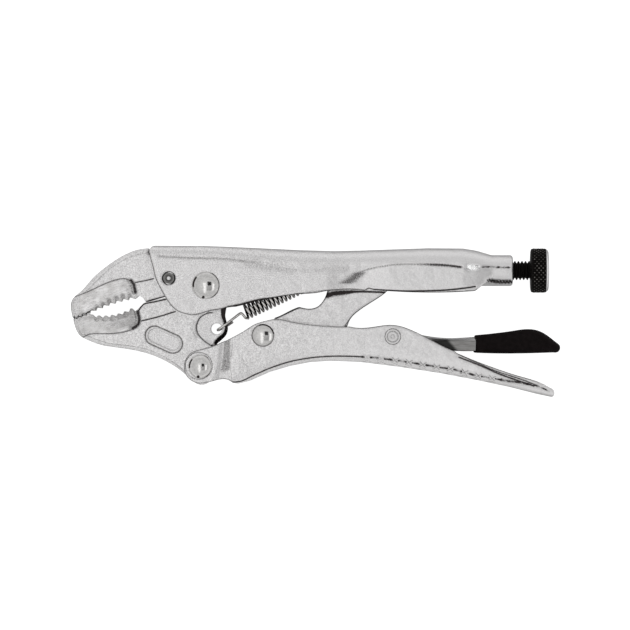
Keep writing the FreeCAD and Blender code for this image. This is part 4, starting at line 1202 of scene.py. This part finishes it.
def knurled_knob(material, steel):
    """The knob: a chamfered disc with a diamond knurl round it and a turned bright rear edge."""
    start, end = cad_range("screw_knob", 0)
    radius = KNOB_RADIUS
    low, high, steps = start + 0.7, end - 1.5, 52
    front = [(0, start + 0.3), (3.1, start + 0.3), (6.5, start), (radius - 1.3, start),
             (radius - 0.5, start + 0.25)]
    side = [(radius, low + (high - low) * i / steps) for i in range(steps + 1)]
    rear = [(radius - 0.3, end - 1.25), (radius - 1.2, end - 0.25), (radius - 1.9, end), (6.2, end),
            (5.0, end - 0.1), (4.8, end - 0.5), (0, end - 0.5)]
    luck = np.random.default_rng(5).uniform(0.05, 1.0, (50, 50)) ** 2
    points, faces = lathe(front + side + rear, DIAMONDS * 14)
    shaped, point_highlights = [], []
    for y, z, x in points:
        point_highlight = 0.0
        if abs(math.hypot(y, z) - radius) < 1e-6:
            turn = math.atan2(z, y) / (2 * math.pi) * DIAMONDS
            cut, point_highlight = knurl_cut(x, turn, low, high, luck)
            scale = (radius - cut) / radius
            y, z = y * scale, z * scale
        shaped.append((x, SCREW_Y + y, z))
        point_highlights.append(point_highlight)
    bright = []
    for face in faces:
        ends = [points[v][2] for v in face]
        reach = min(math.hypot(*points[v][:2]) for v in face)
        bright.append(int(min(ends) > end - 1.3 and max(ends) < end + 1e-4 and reach > 6.3))
    piece = make_piece("knurled_knob", shaped, faces, [material, steel], bright)
    # The knurl's points carry painted highlights.
    store_dirt_and_light(piece.data, np.array(point_highlights))
    settle(piece, "knob", "screw_knob")


# ---------- spring

WIRE, COIL, TURNS, COIL_PITCH = 0.64, 3.8, 17, 2.2
SPRING_START, SPRING_SLOPE = (18.6, -14.6), 25.2


def tube(points, radius, sides=10):
    """A round tube along points, with capped ends."""
    path = [Vector(p) for p in points]
    rings = []
    normal = (path[1] - path[0]).normalized().orthogonal().normalized()
    for i, spot in enumerate(path):
        ahead = (path[min(i + 1, len(path) - 1)] - path[max(i - 1, 0)]).normalized()
        normal = (normal - ahead * normal.dot(ahead)).normalized()
        other = ahead.cross(normal)
        for k in range(sides):
            angle = 2 * math.pi * k / sides
            rings.append(tuple(spot + (normal * math.cos(angle) + other * math.sin(angle)) * radius))
    return rings, ring_faces(len(path), sides)


def spring_axes():
    """The coil's start, and unit vectors along and across it."""
    slope = math.radians(SPRING_SLOPE)
    along = Vector((math.cos(slope), math.sin(slope), 0))
    up = Vector((-math.sin(slope), math.cos(slope), 0))
    return Vector((*SPRING_START, 0)), along, up


SPRING_HOOK = ((13.9, -19.0, -3.6), (11.4, -20.7, -4.3), (8.8, -22.2, -4.2), (6.9, -23.1, -3.2),
               (6.2, -23.3, -0.6), (6.3, -23.0, 1.9), (7.2, -22.4, 3.7), (8.8, -21.4, 4.15),
               (11.2, -19.7, 4.2), (14.4, -17.2, 3.5), (16.9, -15.3, 2.7), (18.3, -14.5, 2.2),
               (19.4, -15.4, 2.0), (20.6, -16.9, 1.4))
# The rear hook: how far along from the coil's end, and how far up.
SPRING_TAB = ((0.2, -2.5), (1.2, 0.0), (4.0, 1.0), (5.4, 0.5))


def spring_line():
    """The wire from the hook in the ear's hole, along the coil, to the handle's tab."""
    start, along, up = spring_axes()
    coil = []
    for i in range(TURNS * 24 + 1):
        turn = 2 * math.pi * i / 24
        spoke = -up * math.cos(turn) - Vector((0, 0, 1)) * math.sin(turn)
        coil.append(start + along * (2.0 + COIL_PITCH * i / 24) + spoke * COIL)
    end = start + along * (3.0 + COIL_PITCH * TURNS)
    rear = [end + along * step + up * lift for step, lift in SPRING_TAB]
    return [*smooth_path(SPRING_HOOK, 0.4), *coil, *smooth_path(rear, 0.4)]


def inner_shade(points):
    """Painted shade: 1 on the side of the coil's wire that faces its axis, 0 on the outer side and the hooks."""
    start, along, _ = spring_axes()
    offset = np.array(points) - np.array(start)
    reach = offset @ np.array(along)
    radial = np.linalg.norm(offset - np.outer(reach, np.array(along)), axis=1)
    in_coil = (reach > 1.4) & (reach < 3.0 + COIL_PITCH * TURNS)
    return np.where(in_coil, smoothstep(COIL + 0.3, COIL - 0.1, radial), 0)


def jaw_spring(material):
    points, faces = tube(spring_line(), WIRE)
    piece = make_piece("jaw_spring_wire", points, faces, [material])
    store_dirt_and_light(piece.data, inner_shade(points))
    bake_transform(piece)
    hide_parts("jaw_spring")


# ---------- everything


def main():
    make_camera()
    make_studio()
    make_floor()
    plate, cheek, bright = nickel_plate(), polished_cheek(), polished_rivet()
    steel, oxide = dark_steel(), black_oxide()
    upper_handle(plate)
    lower_handle(plate)
    upper_jaw(plate, cheek)
    lower_jaw(plate, cheek)
    toggle_link(plate)
    release_lever(steel)
    lever_sleeve(black_vinyl())
    for row in RIVETS:
        rivet(*row, bright)
    rolled_rivet(plate)
    jaw_pin(steel)
    screw_thread(oxide)
    knurled_knob(oxide, plate)
    jaw_spring(spring_wire())


main()
